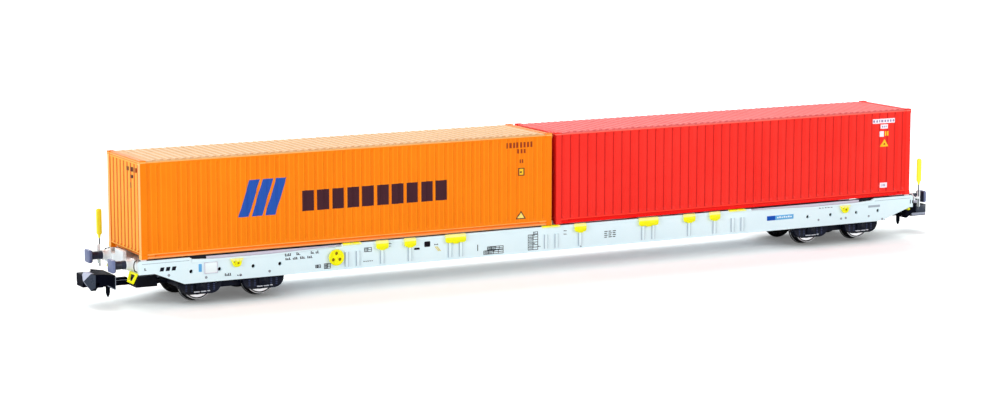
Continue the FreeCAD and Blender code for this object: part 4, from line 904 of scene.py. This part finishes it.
# buffers: sockets with flanges, shanks with collars, crowned heads
corners = [(end, side) for end in (1, -1) for side in (1, -1)]
buffer = {"y": 5.47, "z": 7.2, "start": 77.2, "tip": 81.2}
sockets, shanks, heads, backs = shapes(4)
for end, side in corners:
    y, z = side * buffer["y"], buffer["z"]
    centre, axis = (end * buffer["start"], y, z), (end, 0, 0)
    pillow(sockets, span(end, 77.15, 77.42), around(y, 0.95),
           (z - 0.95, z + 0.9), "X", 0.2, 0.05)
    lathe(sockets, ((0, 0.0), (0.98, 0.0), (0.98, 0.2), (0.9, 0.32), (0.84, 0.5), (0.83, 1.1),
                 (0.88, 1.16), (0.88, 1.36), (0.84, 1.4), (0, 1.4)), centre, axis, 40)
    for turn in range(4):
        angle = math.radians(45 + 90 * turn)
        lathe(sockets, ((0, 0.3), (0.1, 0.29), (0.12, 0.24), (0.12, 0.1), (0, 0.1)),
              (end * buffer["start"], y + 1.05 * math.cos(angle), z + 1.03 * math.sin(angle)),
              axis, 10)
    lathe(shanks, ((0, 1.3), (0.7, 1.3), (0.7, 2.0), (0.66, 2.06), (0.66, 2.2), (0.7, 2.26),
                 (0.7, 3.3), (0.8, 3.42), (0.8, 3.5), (0, 3.5)), centre, axis, 36)
    part = bmesh.new()
    pillow(part, (-0.28, 0.28), (-1.25, 1.25), (-1.1, 1.1), "X", 0.42, 0.12, 5)
    back = [v for v in part.verts if v.co.x < -0.2]
    bmesh.ops.scale(part, vec=(1, 0.94, 0.94), verts=back)
    if end < 0:
        bmesh.ops.scale(part, vec=(-1, 1, 1), verts=part.verts)
        bmesh.ops.reverse_faces(part, faces=part.faces)
    bmesh.ops.translate(part, vec=(end * (buffer["tip"] - 0.28), y, z), verts=part.verts)
    joinInto(heads, part)
    # dark disc behind each head
    pillow(backs, span(end, buffer["tip"] - 0.62, buffer["tip"] - 0.5),
           around(y, 1.16), around(z, 1.02), "X", 0.4, 0.03, 5)
finishPiece("buffer_backs", backs, wagon, "buffer_black", shankBlack)
finishPiece("buffer_sockets_turned", sockets, wagon, "socket_grey", socketGrey, ("buffer_sockets",))
finishPiece("buffer_shanks", shanks, wagon, "buffer_black", shankBlack)
finishPiece("buffer_heads", heads, wagon, "buffer_black", bufferGrey, ("buffers",))

# headstock details: grab rods and stop faces
headstock = {"grabRadius": 0.09, "stopFace": (77.5, 77.68), "stopHalf": 1.75, "stop": (6.1, 8.75),
             "grab": ((77.15, 7.0, 8.0), (77.5, 7.0, 7.95), (77.75, 7.12, 7.3),
                      (77.75, 7.22, 6.6), (77.5, 7.25, 6.2), (77.15, 7.25, 6.15))}
bm = bmesh.new()
for end, side in corners:
    tube(bm, [(end * x, side * y, z) for x, y, z in headstock["grab"]], headstock["grabRadius"])
finishPiece("grab_rods", bm, wagon, "screw_steel", rubberBlack)
bm = bmesh.new()
for end in (1, -1):
    pillow(bm, span(end, *headstock["stopFace"]), around(0, headstock["stopHalf"]),
           headstock["stop"], "X", 0.15, 0.05)
finishPiece("headstock_stops", bm, wagon, "frame_grey", headGrey)
print("fittings ready")

# wheels: metal tyres round black centres
tyreLine = ((2.3, 3.8), (2.95, 3.8), (3.09, 3.87), (3.15, 4.0), (3.13, 4.12), (3.0, 4.24),
            (2.84, 4.33), (2.75, 4.45), (2.73, 4.6), (2.73, 5.54), (2.7, 5.58), (2.5, 5.58),
            (2.46, 5.54), (2.42, 5.4), (2.4, 5.0), (2.3, 3.8))
centreLine = ((0.28, 3.85), (2.32, 3.85), (2.44, 5.0), (2.44, 5.54), (2.4, 5.54), (2.38, 5.5),
              (1.95, 5.46), (1.92, 5.2), (1.1, 5.0), (1.02, 5.1), (0.98, 5.42), (0.8, 5.46),
              (0.76, 5.4), (0.28, 5.4), (0.28, 3.85))
for number, along in wheel["places"].items():
    tyres, centres = shapes(2)
    for side in (1, -1):
        for shape, line in ((tyres, tyreLine), (centres, centreLine)):
            lathe(shape, line, (along, 0, wheel["height"]), (0, side, 0), 72)
        for turn in range(wheel["bolts"]):
            angle = math.radians(360 / wheel["bolts"] * turn + wheel["firstBolt"])
            circle = wheel["boltCircle"]
            lathe(centres, ((0, 5.2), (0.09, 5.2), (0.13, 5.16), (0.13, 4.95), (0, 4.95)),
                  (along + circle * math.cos(angle), 0, wheel["height"] + circle * math.sin(angle)),
                  (0, side, 0), 10)
    body = "wheelset_%d" % number
    finishPiece("wheel_tyres_%d" % number, tyres, body, "wheel_metal",
                tyreMaterials[number], ("wheels_%d" % number,), angle=30)
    finishPiece("wheel_centres_%d" % number, centres, body, "wheel_metal", wheelBlack[number],
                angle=30)
    roundedCopy("axle_%d" % number, "axle_%d_turned" % number, body, "screw_steel", darkSteel, 0.03)

# bogies
bogie = {"middle": 60.5, "axleShift": 5.6, "coil": 0.3, "coils": 5}
caseLine = [(-3.7, 3.45), (-3.66, 2.9), (-3.5, 2.45), (-3.15, 1.98), (-2.65, 1.68), (-2.05, 1.52),
            (2.05, 1.52), (2.65, 1.68), (3.15, 1.98), (3.5, 2.45), (3.66, 2.9), (3.7, 3.45)]
for end, middle in (("rear", -bogie["middle"]), ("front", bogie["middle"])):
    body = "bogie_" + end
    cases, springs, ledges, boxes = shapes(4)
    for x in around(middle, bogie["axleShift"]):
        # bowl-shaped case with a sunk face
        eased(cases, [(x + a, b) for a, b in caseLine], (-6.62, -6.4), 0.06)
        rim = bmesh.new()
        plate(rim, [(x + a, b) for a, b in caseLine], (-6.95, -6.55))
        front = [f for f in rim.faces if f.normal.y < -0.9 or all(v.co.y < -6.94 for v in f.verts)]
        bmesh.ops.inset_region(rim, faces=front, thickness=0.3, use_even_offset=True)
        bmesh.ops.translate(rim, vec=(0, 0.26, 0), verts=list({v for f in front for v in f.verts}))
        bevelled(rim, sharpEdges(rim, math.radians(25)), 0.05, 2)
        joinInto(cases, rim)
        # coil springs either side of the axle box, in a blue-grey paler than the cases: painted
        # highlight
        for place in (-2.45, -1.45, 1.45, 2.45):
            foot = 1.9 if abs(place) < 2 else 2.0
            outline = [(0, foot)]
            for turn in range(bogie["coils"]):
                level = foot + turn * bogie["coil"]
                outline += [(0.26, level), (0.34, level + 0.06), (0.36, level + 0.12),
                            (0.34, level + 0.18), (0.26, level + 0.24)]
            outline += [(0.0, foot + 1.47)]
            lathe(springs, outline, (x + place, -6.4, 0), (0, 0, 1), 16)
        # axle box with a round cover and a guide above
        pillow(boxes, around(x, 0.85), (-6.98, -6.4), (2.0, 3.42), "Y", 0.3, 0.08)
        lathe(boxes, ((0, 7.08), (0.3, 7.07), (0.42, 7.0), (0.5, 6.95), (0.5, 6.6), (0, 6.6)),
              (x, 0, 2.8), (0, -1, 0), 28)
        for sideways in (-0.62, 0.62):
            lathe(boxes, ((0, 7.05), (0.08, 7.04), (0.1, 7.0), (0.1, 6.9), (0, 6.9)),
                  (x + sideways, 0, 2.25), (0, -1, 0), 8)
        # lower lips of the spring seats, pale as a painted highlight
        for left, right, level in ((-1.15, -0.2, 1.86), (0.05, 0.95, 1.86), (1.2, 1.62, 1.9)):
            pillow(ledges, (x + left, x + right), (-7.02, -6.7), (level, level + 0.16), "Y", 0.03,
                   0.02)
        # brake blocks and hangers beside the wheels
        for flank in (-1, 1):
            pillow(boxes, sorted((x + flank * 2.85, x + flank * 3.25)), (-5.5, -4.6),
                   (2.3, 3.9), "Y", 0.12, 0.05)
    mirrored(cases, springs, ledges, boxes)
    finishPiece("spring_case_walls_" + end, cases, body, "bogie_black", bogieBlack,
                ("spring_cases_" + end,))
    finishPiece("coil_springs_" + end, springs, body, "bogie_black", springBlueHighlight, angle=50)
    finishPiece("axle_boxes_" + end, boxes, body, "bogie_black", bogieBlack)
    finishPiece("spring_seat_lips_" + end, ledges, body, "screw_steel", lipHighlight)
    roundedCopy("bogie_frame_" + end, "bogie_frame_%s_eased" % end, body, "bogie_black",
                bogieBlack, 0.07)
    roundedCopy("coupler_pocket_" + end, "coupler_pocket_%s_eased" % end, body, "bogie_black",
                bogieBlack, 0.06)
print("bogies ready")

# couplers, measured from their pins: x towards the tip, y across; the rear one is turned round
coupler = {
    "pin": 73.0, "noseFacing": Vector((0.879, 0.476, 0.0)), "edgeRadius": 0.085,
    "nose": [(11.0, 0.5, 4.1), (10.24, 1.9, 5.5), (9.7, 2.9, 5.5), (9.7, 2.9, 3.3),
             (10.24, 1.9, 2.65)],
    "funnel": [(11.0, 0.5, 4.1), (10.24, 1.9, 5.5), (10.6, -0.6, 5.5), (11.0, -0.75, 4.55)],
    "catch": ((-2.9, 3.6), (-2.9, 5.1), (-0.8, 5.1), (-0.7, 4.5), (0.4, 4.1), (0.3, 3.7))}
nose, funnel, facing = coupler["nose"], coupler["funnel"], coupler["noseFacing"]
for end, sign in (("front", 1), ("rear", -1)):
    body = "coupler_head_" + end
    head, paleReflection, slateReflection, edges = shapes(4)
    # shank with its eye, and the wedge behind the jaws
    pillow(head, (0.9, 8.6), (-0.68, 0.68), (2.95, 3.85), "X", 0.08, 0.04)
    pillow(head, (3.4, 6.4), (-0.5, 0.5), (3.7, 4.2), "X", 0.1, 0.04)
    lathe(head, ((0.56, 2.95), (1.03, 2.95), (1.03, 3.85), (0.56, 3.85), (0.56, 2.95)),
          (0, 0, 0), (0, 0, 1), 40)
    plate(head, [(6.3, 2.76), (6.6, 2.76), (7.9, 3.6), (8.6, 3.6), (8.6, 5.5), (6.3, 5.1)],
          (-2.9, 2.9))
    # catch with the bars under it
    boxMesh(head, (7.6, 10.95), (-2.9, 0.0), (3.0, 3.3))
    boxMesh(head, (8.5, 10.9), (-2.8, -0.1), (3.25, 3.65))
    boxMesh(head, (8.5, 10.95), (-2.9, 0.0), (3.6, 3.95))
    hull(head, [(x, y, z) for x in (9.4, 11.0) for y, z in coupler["catch"]])
    # nose with its diagonal front, and its side wall
    hull(head, nose + [(9.4, y, z) for x, y, z in nose])
    boxMesh(head, (8.5, 9.75), (0.0, 2.9), (3.3, 4.1))
    boxMesh(head, (8.5, 9.6), (2.4, 2.9), (3.7, 5.48))
    lathe(head, ((0, 1.1), (0.1, 1.12), (0.22, 1.32), (0.36, 1.8), (0.38, 2.9), (0, 2.9)),
          (6.65, 0, 0), (0, 0, 1), 20)
    # funnel between nose and catch, pale blue-white: painted reflection
    hull(paleReflection, funnel + [(9.5, y, z) for x, y, z in funnel])
    # flat top from the wedge to the nose
    boxMesh(head, (8.5, 9.75), (-0.62, 2.45), (4.05, 5.5))
    # face of the nose in slate blue: painted reflection
    middle = sum((Vector(p) for p in nose), Vector()) / 5
    front = [middle + (Vector(p) - middle) * 0.95 + facing * 0.012 for p in nose]
    hull(slateReflection, front + [p - facing * 0.1 for p in front])
    # slate-blue cheek on the catch side, a painted reflection, with its pale lower edge, a painted
    # highlight
    pillow(slateReflection, (8.7, 10.9), (-2.935, -2.8), (3.68, 5.02), "Y", 0.12, 0.02, 3)
    pillow(edges, (7.7, 10.95), (-2.94, -2.8), (3.12, 3.6), "Y", 0.06, 0.01, 2)
    # pale edges, painted highlights: under the nose, across the catch and round the back of the
    # head
    rod(edges, (10.9, 0.56, 4.06), (10.17, 1.9, 2.7), coupler["edgeRadius"], 8)
    pillow(edges, (10.85, 10.995), (-2.6, -0.55), (4.12, 4.2), "Y", 0.02, 0)
    pillow(edges, (6.3, 6.4), (2.86, 2.93), (2.9, 5.05), "Z", 0.02, 0)
    hull(edges, [(x, y, z) for y in (2.8, 2.94) for x, z in ((6.32, 2.76), (6.62, 2.76),
                                                            (7.8, 3.52), (7.6, 3.52))])
    pillow(edges, (1.0, 6.2), (0.62, 0.7), (3.8, 3.87), "X", 0.02, 0)
    for shape in (head, paleReflection, slateReflection, edges):
        if sign < 0:
            bmesh.ops.rotate(shape, verts=shape.verts, cent=(0, 0, 0),
                             matrix=Matrix.Rotation(math.pi, 3, "Z"))
        bmesh.ops.translate(shape, vec=(sign * coupler["pin"], 0, 0), verts=shape.verts)
    finishPiece("coupler_%s_head" % end, head, body, "coupler_black", couplerBlack,
                ("coupler_" + end,), 0.05)
    finishPiece("coupler_%s_funnel" % end, paleReflection, body, "coupler_black", couplerPaleReflection, bevel=0.03)
    finishPiece("coupler_%s_nose" % end, slateReflection, body, "coupler_black", couplerSlateReflection, bevel=0.02)
    finishPiece("coupler_%s_edges" % end, edges, body, "coupler_black", couplerEdgeHighlight)
print("couplers ready")

# containers: sizes from their middle
box = {"panelEnd": 36.99, "foot": 8.97, "crown": 23.87, "wallOut": 7.48,
       "wallIn": 7.06, "groove": 0.16, "pitch": 1.74, "ramp": 0.4, "ribLow": 24.17,
       "ribHigh": 24.29, "roofPitch": 1.31, "roofHalf": 7.06, "frontPitch": 1.6,
       "frontOut": 37.96, "frontIn": 37.54, "frontHalf": 6.62, "castingAt": (37.55, 7.14),
       "railEnd": 37.0}
door = {"face": 37.79, "hinges": (10.4, 14.3, 18.4, 22.4), "rodRadius": 0.1, "handleRadius": 0.06,
        "fields": ((9.3, 13.5), (13.9, 18.6), (19.0, 23.5)),
        # where each lock rod stands, where its handle ends and is held, and how high
        "rods": ((2.36, 0.9, 0.95, 13.2), (4.26, 5.7, 5.65, 12.6)),
        "brackets": (9.15, 12.1, 16.4, 20.4, 23.4)}
maroonInk, blueInk, rustInk = (66, 30, 40), (34, 84, 176), (150, 52, 20)
whiteInk, paleInk, amberInk = (250, 240, 248), (252, 226, 120), (250, 196, 40)
lilacInk, brickInk = (150, 130, 170), (190, 60, 20)
# prints: left, right, foot, crown, ink, then where needed (pitch, share) of the blocks in a row
# and how far the left and right edges lean for each millimetre up
coats = {
    "orange": {
        "centre": -38.5, "side": ((252, 134, 2), (247, 126, 0)),
        # the pale roof colour is a painted reflection of the overhead light, and the rib-top colour
        # a painted highlight
        "roof": ((228, 184, 136), (222, 176, 128)), "ribTopHighlight": (240, 213, 180),
        # the end colour is darker than the side's, painted shade on the end wall; the edge colour
        # is a painted highlight along the top edges
        "end": ((230, 110, 4), (224, 104, 2)), "edge": (255, 186, 104),
        # the post-end colour is a painted highlight on the ends of the posts
        "postEndLightAndShade": (255, 200, 120), "line": ((-0.52, 0.1), (0.34, 0.1)),
        # the groove-line colour is a painted highlight at both edges of every groove; the glint
        # colour is a painted highlight too
        "grooveLightAndShade": (255, 144, 14), "glint": (255, 186, 84),
        # the gap colour is painted shade at the rib ends by the roof edges; the recess colour is
        # painted shade in the bottom rail's recess
        "rail": ((255, 170, 100), (254, 160, 88)), "gap": (190, 108, 34), "recessShade": (244, 122, 20),
        "sideMarks": (
            (-21.0, -14.3, 13.8, 19.95, blueInk, (2.4, 0.8), (0.34, 0.34)),
            (-9.5, 18.1, 14.0, 17.5, maroonInk, (2.77, 0.8)),
            (29.1, 34.5, 22.1, 23.1, rustInk, (0.68, 0.6)),
            (31.3, 33.2, 21.1, 21.9, rustInk, (0.62, 0.6)),
            (31.7, 32.5, 19.4, 20.1, rustInk, (0.45, 0.7)),
            (31.5, 32.7, 17.2, 18.6, maroonInk), (31.65, 32.5, 17.35, 18.45, amberInk),
            (31.75, 32.2, 17.7, 18.0, maroonInk),
            (31.0, 33.0, 9.6, 11.05, maroonInk, whole, (0.66, -0.66)),
            (31.3, 32.7, 9.75, 10.75, paleInk, whole, (0.66, -0.66))),
        "endMarks": (
            (-2.1, -0.95, 22.1, 22.8, maroonInk, (0.6, 0.7)),
            (-3.8, -2.4, 22.1, 22.9, maroonInk, (0.7, 0.7)),
            (-5.7, -4.2, 22.1, 22.9, rustInk, (0.75, 0.7)),
            (-3.8, -2.3, 21.0, 21.6, maroonInk, (0.75, 0.7)),
            (-3.3, -2.45, 19.4, 20.3, maroonInk, (0.45, 0.7)))},
    "red": {
        "centre": 38.5, "side": ((252, 52, 42), (246, 44, 34)),
        # the pale red roof is a painted reflection too, and the rib-top colour a painted highlight
        "roof": ((232, 112, 110), (228, 104, 102)), "ribTopHighlight": (242, 146, 144),
        # here the end and post-end colours are painted shade, and the edge colour a painted
        # highlight
        "end": ((206, 26, 22), (192, 20, 16)), "edge": (255, 112, 98), "postEndLightAndShade": (200, 24, 20),
        # here the groove-line colour is painted shade, one line in each groove; the glint colour is
        # a painted highlight
        "line": ((-0.46, 0.18),), "grooveLightAndShade": (206, 22, 18), "glint": (255, 84, 62),
        # gap and recess colours: painted shade, as on the orange container
        "rail": ((255, 28, 24), (250, 24, 20)), "gap": (190, 52, 52), "recessShade": (232, 26, 22),
        "sideMarks": (
            (29.5, 34.5, 21.88, 22.78, whiteInk), (29.6, 34.3, 22.1, 22.55, lilacInk, (0.62, 0.6)),
            (31.3, 32.9, 20.85, 21.7, whiteInk), (31.55, 32.7, 21.1, 21.45, lilacInk, (0.4, 0.6)),
            (31.1, 32.0, 19.35, 20.45, whiteInk), (32.2, 33.1, 19.5, 20.4, amberInk, (0.5, 0.7)),
            (31.2, 33.1, 17.5, 18.95, amberInk, whole, (0.64, -0.64)),
            (31.9, 32.4, 17.8, 18.2, brickInk, whole, (0.3, -0.3)),
            (31.4, 32.95, 9.75, 10.75, whiteInk), (31.7, 32.65, 10.0, 10.5, lilacInk, (0.32, 0.6))),
        "endMarks": ()}}


def pressedPanel(bm, across, rise, planes, centres, halves, depth, ends, ramps, place):
    # a panel between two planes with grooves pressed in (or ribs raised where depth is below
    # zero); place turns its across, up and out into the wagon's own directions
    outer, inner = planes
    opening, bottom = halves
    part = bmesh.new()
    bmesh.ops.create_grid(part, x_segments=1, y_segments=1, size=0.5)
    bmesh.ops.scale(part, vec=(across[1] - across[0], rise[1] - rise[0], 1), verts=part.verts)
    bmesh.ops.translate(part, vec=(sum(across) / 2, sum(rise) / 2, outer), verts=part.verts)
    # cut along both edges of every groove and across their ends
    cuts = [((u, 0, 0), (1, 0, 0)) for centre in centres for u in around(centre, opening)]
    for spot, facing in cuts + [((0, v, 0), (0, 1, 0)) for v in ends]:
        bmesh.ops.bisect_plane(part, geom=part.verts[:] + part.edges[:] + part.faces[:],
                               plane_co=spot, plane_no=facing)

    def pressed(spot):
        return ends[0] < spot.y < ends[1] and any(abs(spot.x - c) < opening for c in centres)
    cells = [face for face in part.faces if pressed(face.calc_center_median())]
    narrowed = (bottom / opening, 1 - 2 * ramps / (ends[1] - ends[0]), 1)
    for face in bmesh.ops.extrude_discrete_faces(part, faces=cells)["faces"]:
        bmesh.ops.scale(part, vec=narrowed, verts=face.verts,
                        space=Matrix.Translation(-face.calc_center_median()))
        bmesh.ops.translate(part, vec=(0, 0, -depth), verts=face.verts)
    # edges and back
    rim = [edge for edge in part.edges if edge.is_boundary]
    made = bmesh.ops.extrude_edge_only(part, edges=rim)["geom"]
    bmesh.ops.translate(part, vec=(0, 0, inner - outer),
                        verts=[item for item in made if isinstance(item, bmesh.types.BMVert)])
    bmesh.ops.holes_fill(part, edges=[edge for edge in part.edges if edge.is_boundary], sides=0)
    bmesh.ops.transform(part, matrix=place, verts=part.verts)
    joinInto(bm, part)


def carved(node, cutter):
    # a node of the frame with a shape cut out of it, in metres
    bmesh.ops.scale(cutter, vec=(mm, mm, mm), verts=cutter.verts)
    bmesh.ops.recalc_face_normals(cutter, faces=cutter.faces)
    holders = []
    for bm in (cleanCopy(node), cutter):
        mesh = bpy.data.meshes.new("holder")
        bm.to_mesh(mesh)
        bm.free()
        holders.append(bpy.data.objects.new("holder", mesh))
        scene.collection.objects.link(holders[-1])
    cut = holders[0].modifiers.new("cut", "BOOLEAN")
    cut.object = holders[1]
    cut.operation = "DIFFERENCE"
    cut.solver = "EXACT"
    found = bmesh.new()
    found.from_object(holders[0], bpy.context.evaluated_depsgraph_get())
    for item in holders:
        mesh = item.data
        bpy.data.objects.remove(item)
        bpy.data.meshes.remove(mesh)
    joinFlat(found)
    return found


def turned(left, right, foot, crown, markColour, blocks=whole, leans=straight):
    # the same print for the far side, read from there
    return (-right, -left, foot, crown, markColour, blocks, (-leans[1], -leans[0]))


for colour, coat in coats.items():
    middle, body = coat["centre"], "container_" + colour
    node = body + "_"

    def put(part, bm, paint, stands="", *rims):
        # one piece of this container, in place of the node that it stands for
        finishPiece(node + part, bm, body, body, paint, (node + stands,) if stands else (), *rims)

    def finish(part, paint, marks=(), across=0.0, **extra):
        moved = tuple((left + middle * (1 - across), right + middle * (1 - across), *rest)
                      for left, right, *rest in marks)
        return finishMaterial(colour + part, *paint, marks=moved, across=across, **extra)

    # painted highlights (glints) along the pressed edges of the end wall and the ledges of the
    # bottom rails, and painted shade in the rails' recess
    glint = coat["glint"]
    edgeLines = ((-7.1, 6.62, 9.1, 23.75, glint, (box["frontPitch"], 0.26)),
                 (-6.62, 6.62, 23.5, 23.8, glint), (-6.62, 6.62, 9.0, 9.2, glint))
    ledges = ((-38.2, 38.2, 8.87, 9.0, glint), (-38.2, 38.2, 8.47, 8.8, coat["recessShade"]))
    # on posts and top rails: painted highlight on the orange post ends, painted shade on the red
    # ones, and a painted highlight along the top edges
    postEdges = ((-38.2, -38.0, 8.0, 23.85, coat["postEndLightAndShade"]),
                 (38.0, 38.2, 8.0, 23.85, coat["postEndLightAndShade"]),
                 (-38.2, 38.2, 23.86, 24.12, coat["edge"]))
    # groove lines: painted highlights at both edges of each orange groove, painted shade lines in
    # the red grooves
    grooveLightLines = tuple((-21 * box["pitch"] + shift, 37.0, 9.1, 23.8, coat["grooveLightAndShade"],
                         (box["pitch"], share)) for shift, share in coat["line"])
    sidePaint = finish("Side", coat["side"], grooveLightLines + coat["sideMarks"], specular=0.12)
    farMarks = tuple(turned(*mark) for mark in coat["sideMarks"])
    farPaint = finish("FarSide", coat["side"], grooveLightLines + farMarks, specular=0.12)
    # the end wall's base colour is darker than the side's: painted shade
    endPaint = finish("End", coat["end"], edgeLines + coat["endMarks"], 1.0, specular=0.05)
    postPaint = finish("Post", coat["side"], postEdges, specular=0.12)
    railPaint = finish("Rail", coat["rail"], ledges, specular=0.08)
    # roof marks: painted highlight on the rib tops and along both roof edges, painted shade at the
    # rib ends; the pale roof colour itself is a painted reflection
    roofMarks = ((-7.06, 7.06, 24.26, 24.4, coat["ribTopHighlight"]),
                 (-7.13, -6.97, 24.185, 24.3, coat["gap"]), (6.97, 7.13, 24.185, 24.3, coat["gap"]),
                 (-7.2, -7.14, 23.9, 24.2, coat["edge"]), (7.14, 7.2, 23.9, 24.2, coat["edge"]))
    roofGlarePaint = finish("Roof", coat["roof"], roofMarks, 1.0, specular=0.05, gloss=0.5,
                       matt=0.65)
    doorPaint = finish("Door", coat["side"], specular=0.3)

    # corner posts and castings with a slot in the top and the foot of each
    cutter = bmesh.new()
    for x in (-1, 1):
        for y in (-1, 1):
            for low, high in ((24.05, 24.6), (7.9, 8.4)):
                endwards, sideways = box["castingAt"]
                pillow(cutter, around(middle + x * endwards, 0.31), around(y * sideways, 0.19),
                       (low, high), "Z", 0.18, 0, 4)
    put("posts", carved(node + "corners", cutter), postPaint, "corners", 0.09, 3, 35, False)

    # side walls
    centres = [middle + n * box["pitch"] for n in range(-21, 22) if abs(n) != 19]
    ends = (box["foot"] + 0.22, box["crown"] - 0.2)
    for side, sign, paint in (("right", -1, sidePaint), ("left", 1, farPaint)):
        bm = bmesh.new()
        pressedPanel(bm, around(middle, box["panelEnd"]),
                     (box["foot"], box["crown"]), (box["wallOut"], box["wallIn"]), centres,
                     (0.24 * box["pitch"], 0.09 * box["pitch"]), box["groove"], ends, box["ramp"],
                     Matrix(((1, 0, 0), (0, 0, sign), (0, 1, 0))).to_4x4())
        put(side + "_wall_pressed", bm, paint, side + "_wall", 0.045, 2, 20)

    # end wall
    bm = bmesh.new()
    centres = [(n + 0.5) * box["frontPitch"] for n in range(-4, 4)]
    pressedPanel(bm, around(0, box["frontHalf"]), (box["foot"], box["crown"]),
                 (box["frontOut"], box["frontIn"]), centres,
                 (0.26 * box["frontPitch"], 0.1 * box["frontPitch"]), 0.24, ends, 0.3,
                 Matrix(((0, 0, -1, middle), (1, 0, 0, 0), (0, 1, 0, 0), (0, 0, 0, 1))))
    put("front_wall_pressed", bm, endPaint, "front_wall", 0.05, 2, 20)

    # roof: ribs across, with upright ends behind the top rails
    bm = bmesh.new()
    centres = [middle + n * box["roofPitch"] for n in range(-27, 28)]
    pressedPanel(bm, around(middle, box["panelEnd"]), (-7.15, 7.15), (box["ribLow"], 23.97),
                 centres, (0.31 * box["roofPitch"], 0.2 * box["roofPitch"]),
                 box["ribLow"] - box["ribHigh"], (-box["roofHalf"], box["roofHalf"]), 0.03,
                 Matrix.Identity(4))
    put("roof_ribbed", bm, roofGlarePaint, "roof", 0.025, 1, 20)
    # flashing along both roof edges
    bm = bmesh.new()
    pillow(bm, around(middle, 36.9), (-7.32, -7.16), (24.0, 24.2), "X", 0.04, 0.02, 2)
    mirrored(bm)
    put("roof_flashing", bm, roofGlarePaint)

    # top rails: sides and ends, sloping in at the top
    bm = bmesh.new()
    reach = box["railEnd"]
    for sign in (-1, 1):
        line = [(7.1, 23.88), (7.56, 23.88), (7.56, 23.93), (7.44, 24.04), (7.1, 24.05)]
        eased(bm, [(sign * a, b) for a, b in line], around(middle, reach + 0.02), 0.03, plane="YZ")
        line = [(37.0, 23.88), (38.02, 23.88), (38.02, 24.12), (37.92, 24.24), (37.0, 24.24)]
        eased(bm, [(middle + sign * a, b) for a, b in line], (-6.64, 6.64), 0.03)
    put("top_rails_folded", bm, postPaint, "top_rails")

    # bottom rails: a folded channel with a ledge above and a flange below, and cross members
    bm = bmesh.new()
    channel = [(6.9, 8.19), (7.56, 8.19), (7.56, 8.4), (7.5, 8.46), (7.34, 8.48), (7.32, 8.76),
               (7.44, 8.8), (7.56, 8.86), (7.48, 8.98), (6.9, 8.98)]
    for sign in (-1, 1):
        eased(bm, [(sign * a, b) for a, b in channel], around(middle, reach + 0.02), 0.025,
              plane="YZ")
        eased(bm, [(middle + sign * (a + 0.48), b) for a, b in channel], (-6.64, 6.64), 0.025)
        # plain ends of the channel beside the castings
        for x in (-1, 1):
            start = sorted((middle + x * 35.7, middle + x * (reach + 0.01)))
            pillow(bm, start, span(sign, 7.0, 7.55), (8.19, 8.97), "X", 0.04, 0.03)
    boxMesh(bm, around(middle, 37.3), (-6.95, 6.95), (8.4, 8.62))
    for n in range(-14, 15):
        boxMesh(bm, around(middle + n * 2.6, 0.12), (-6.95, 6.95), (8.19, 8.41))
    put("base_channels", bm, railPaint, "base")

    # doors: leaves with seals, hinges, lock rods with brackets, keepers and handles
    roundedCopy(node + "doors", node + "door_leaves", body, body, doorPaint, 0.05)
    face = middle + door["face"]
    trims, metal = shapes(2)
    for sign in (-1, 1):
        for level in door["hinges"]:
            pillow(trims, (face - 0.06, face + 0.14), span(sign, 6.1, 6.95),
                   around(level, 0.16), "X", 0.05, 0.03)
            rod(trims, (face + 0.08, sign * 6.62, level - 0.24),
                (face + 0.08, sign * 6.62, level + 0.24), 0.09, 10)
        # raised field of each leaf
        for low, high in door["fields"]:
            pillow(trims, (face - 0.03, face + 0.05), span(sign, 0.5, 6.0), (low, high),
                   "X", 0.2, 0.02)
        # lock rods with their brackets, then a handle from each one
        for y, tip, grip, level in door["rods"]:
            y, tip, grip = sign * y, sign * tip, sign * grip
            rod(metal, (face + 0.12, y, 8.99), (face + 0.12, y, 23.85), door["rodRadius"], 12)
            for foot in door["brackets"]:
                pillow(metal, (face - 0.02, face + 0.235), around(y, 0.2),
                       (foot, foot + 0.3), "X", 0.06, 0.04)
            rod(metal, (face + 0.17, y, level), (face + 0.17, tip, level), door["handleRadius"], 8)
            pillow(metal, (face - 0.02, face + 0.22), around(grip, 0.16),
                   around(level, 0.22), "X", 0.07, 0.03)
    pillow(trims, (face - 0.05, face + 0.03), (-0.1, 0.1), (9.0, 23.84), "X", 0.03, 0.01)
    put("door_trims", trims, doorPaint)
    put("door_rods", metal, railPaint, "lock_rods")
    print(body + " ready")

# finishes of the nodes that stay
for name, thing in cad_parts.items():
    thing.data.materials[0] = finishes.get(thing.data.materials[0].name, frameGrey)
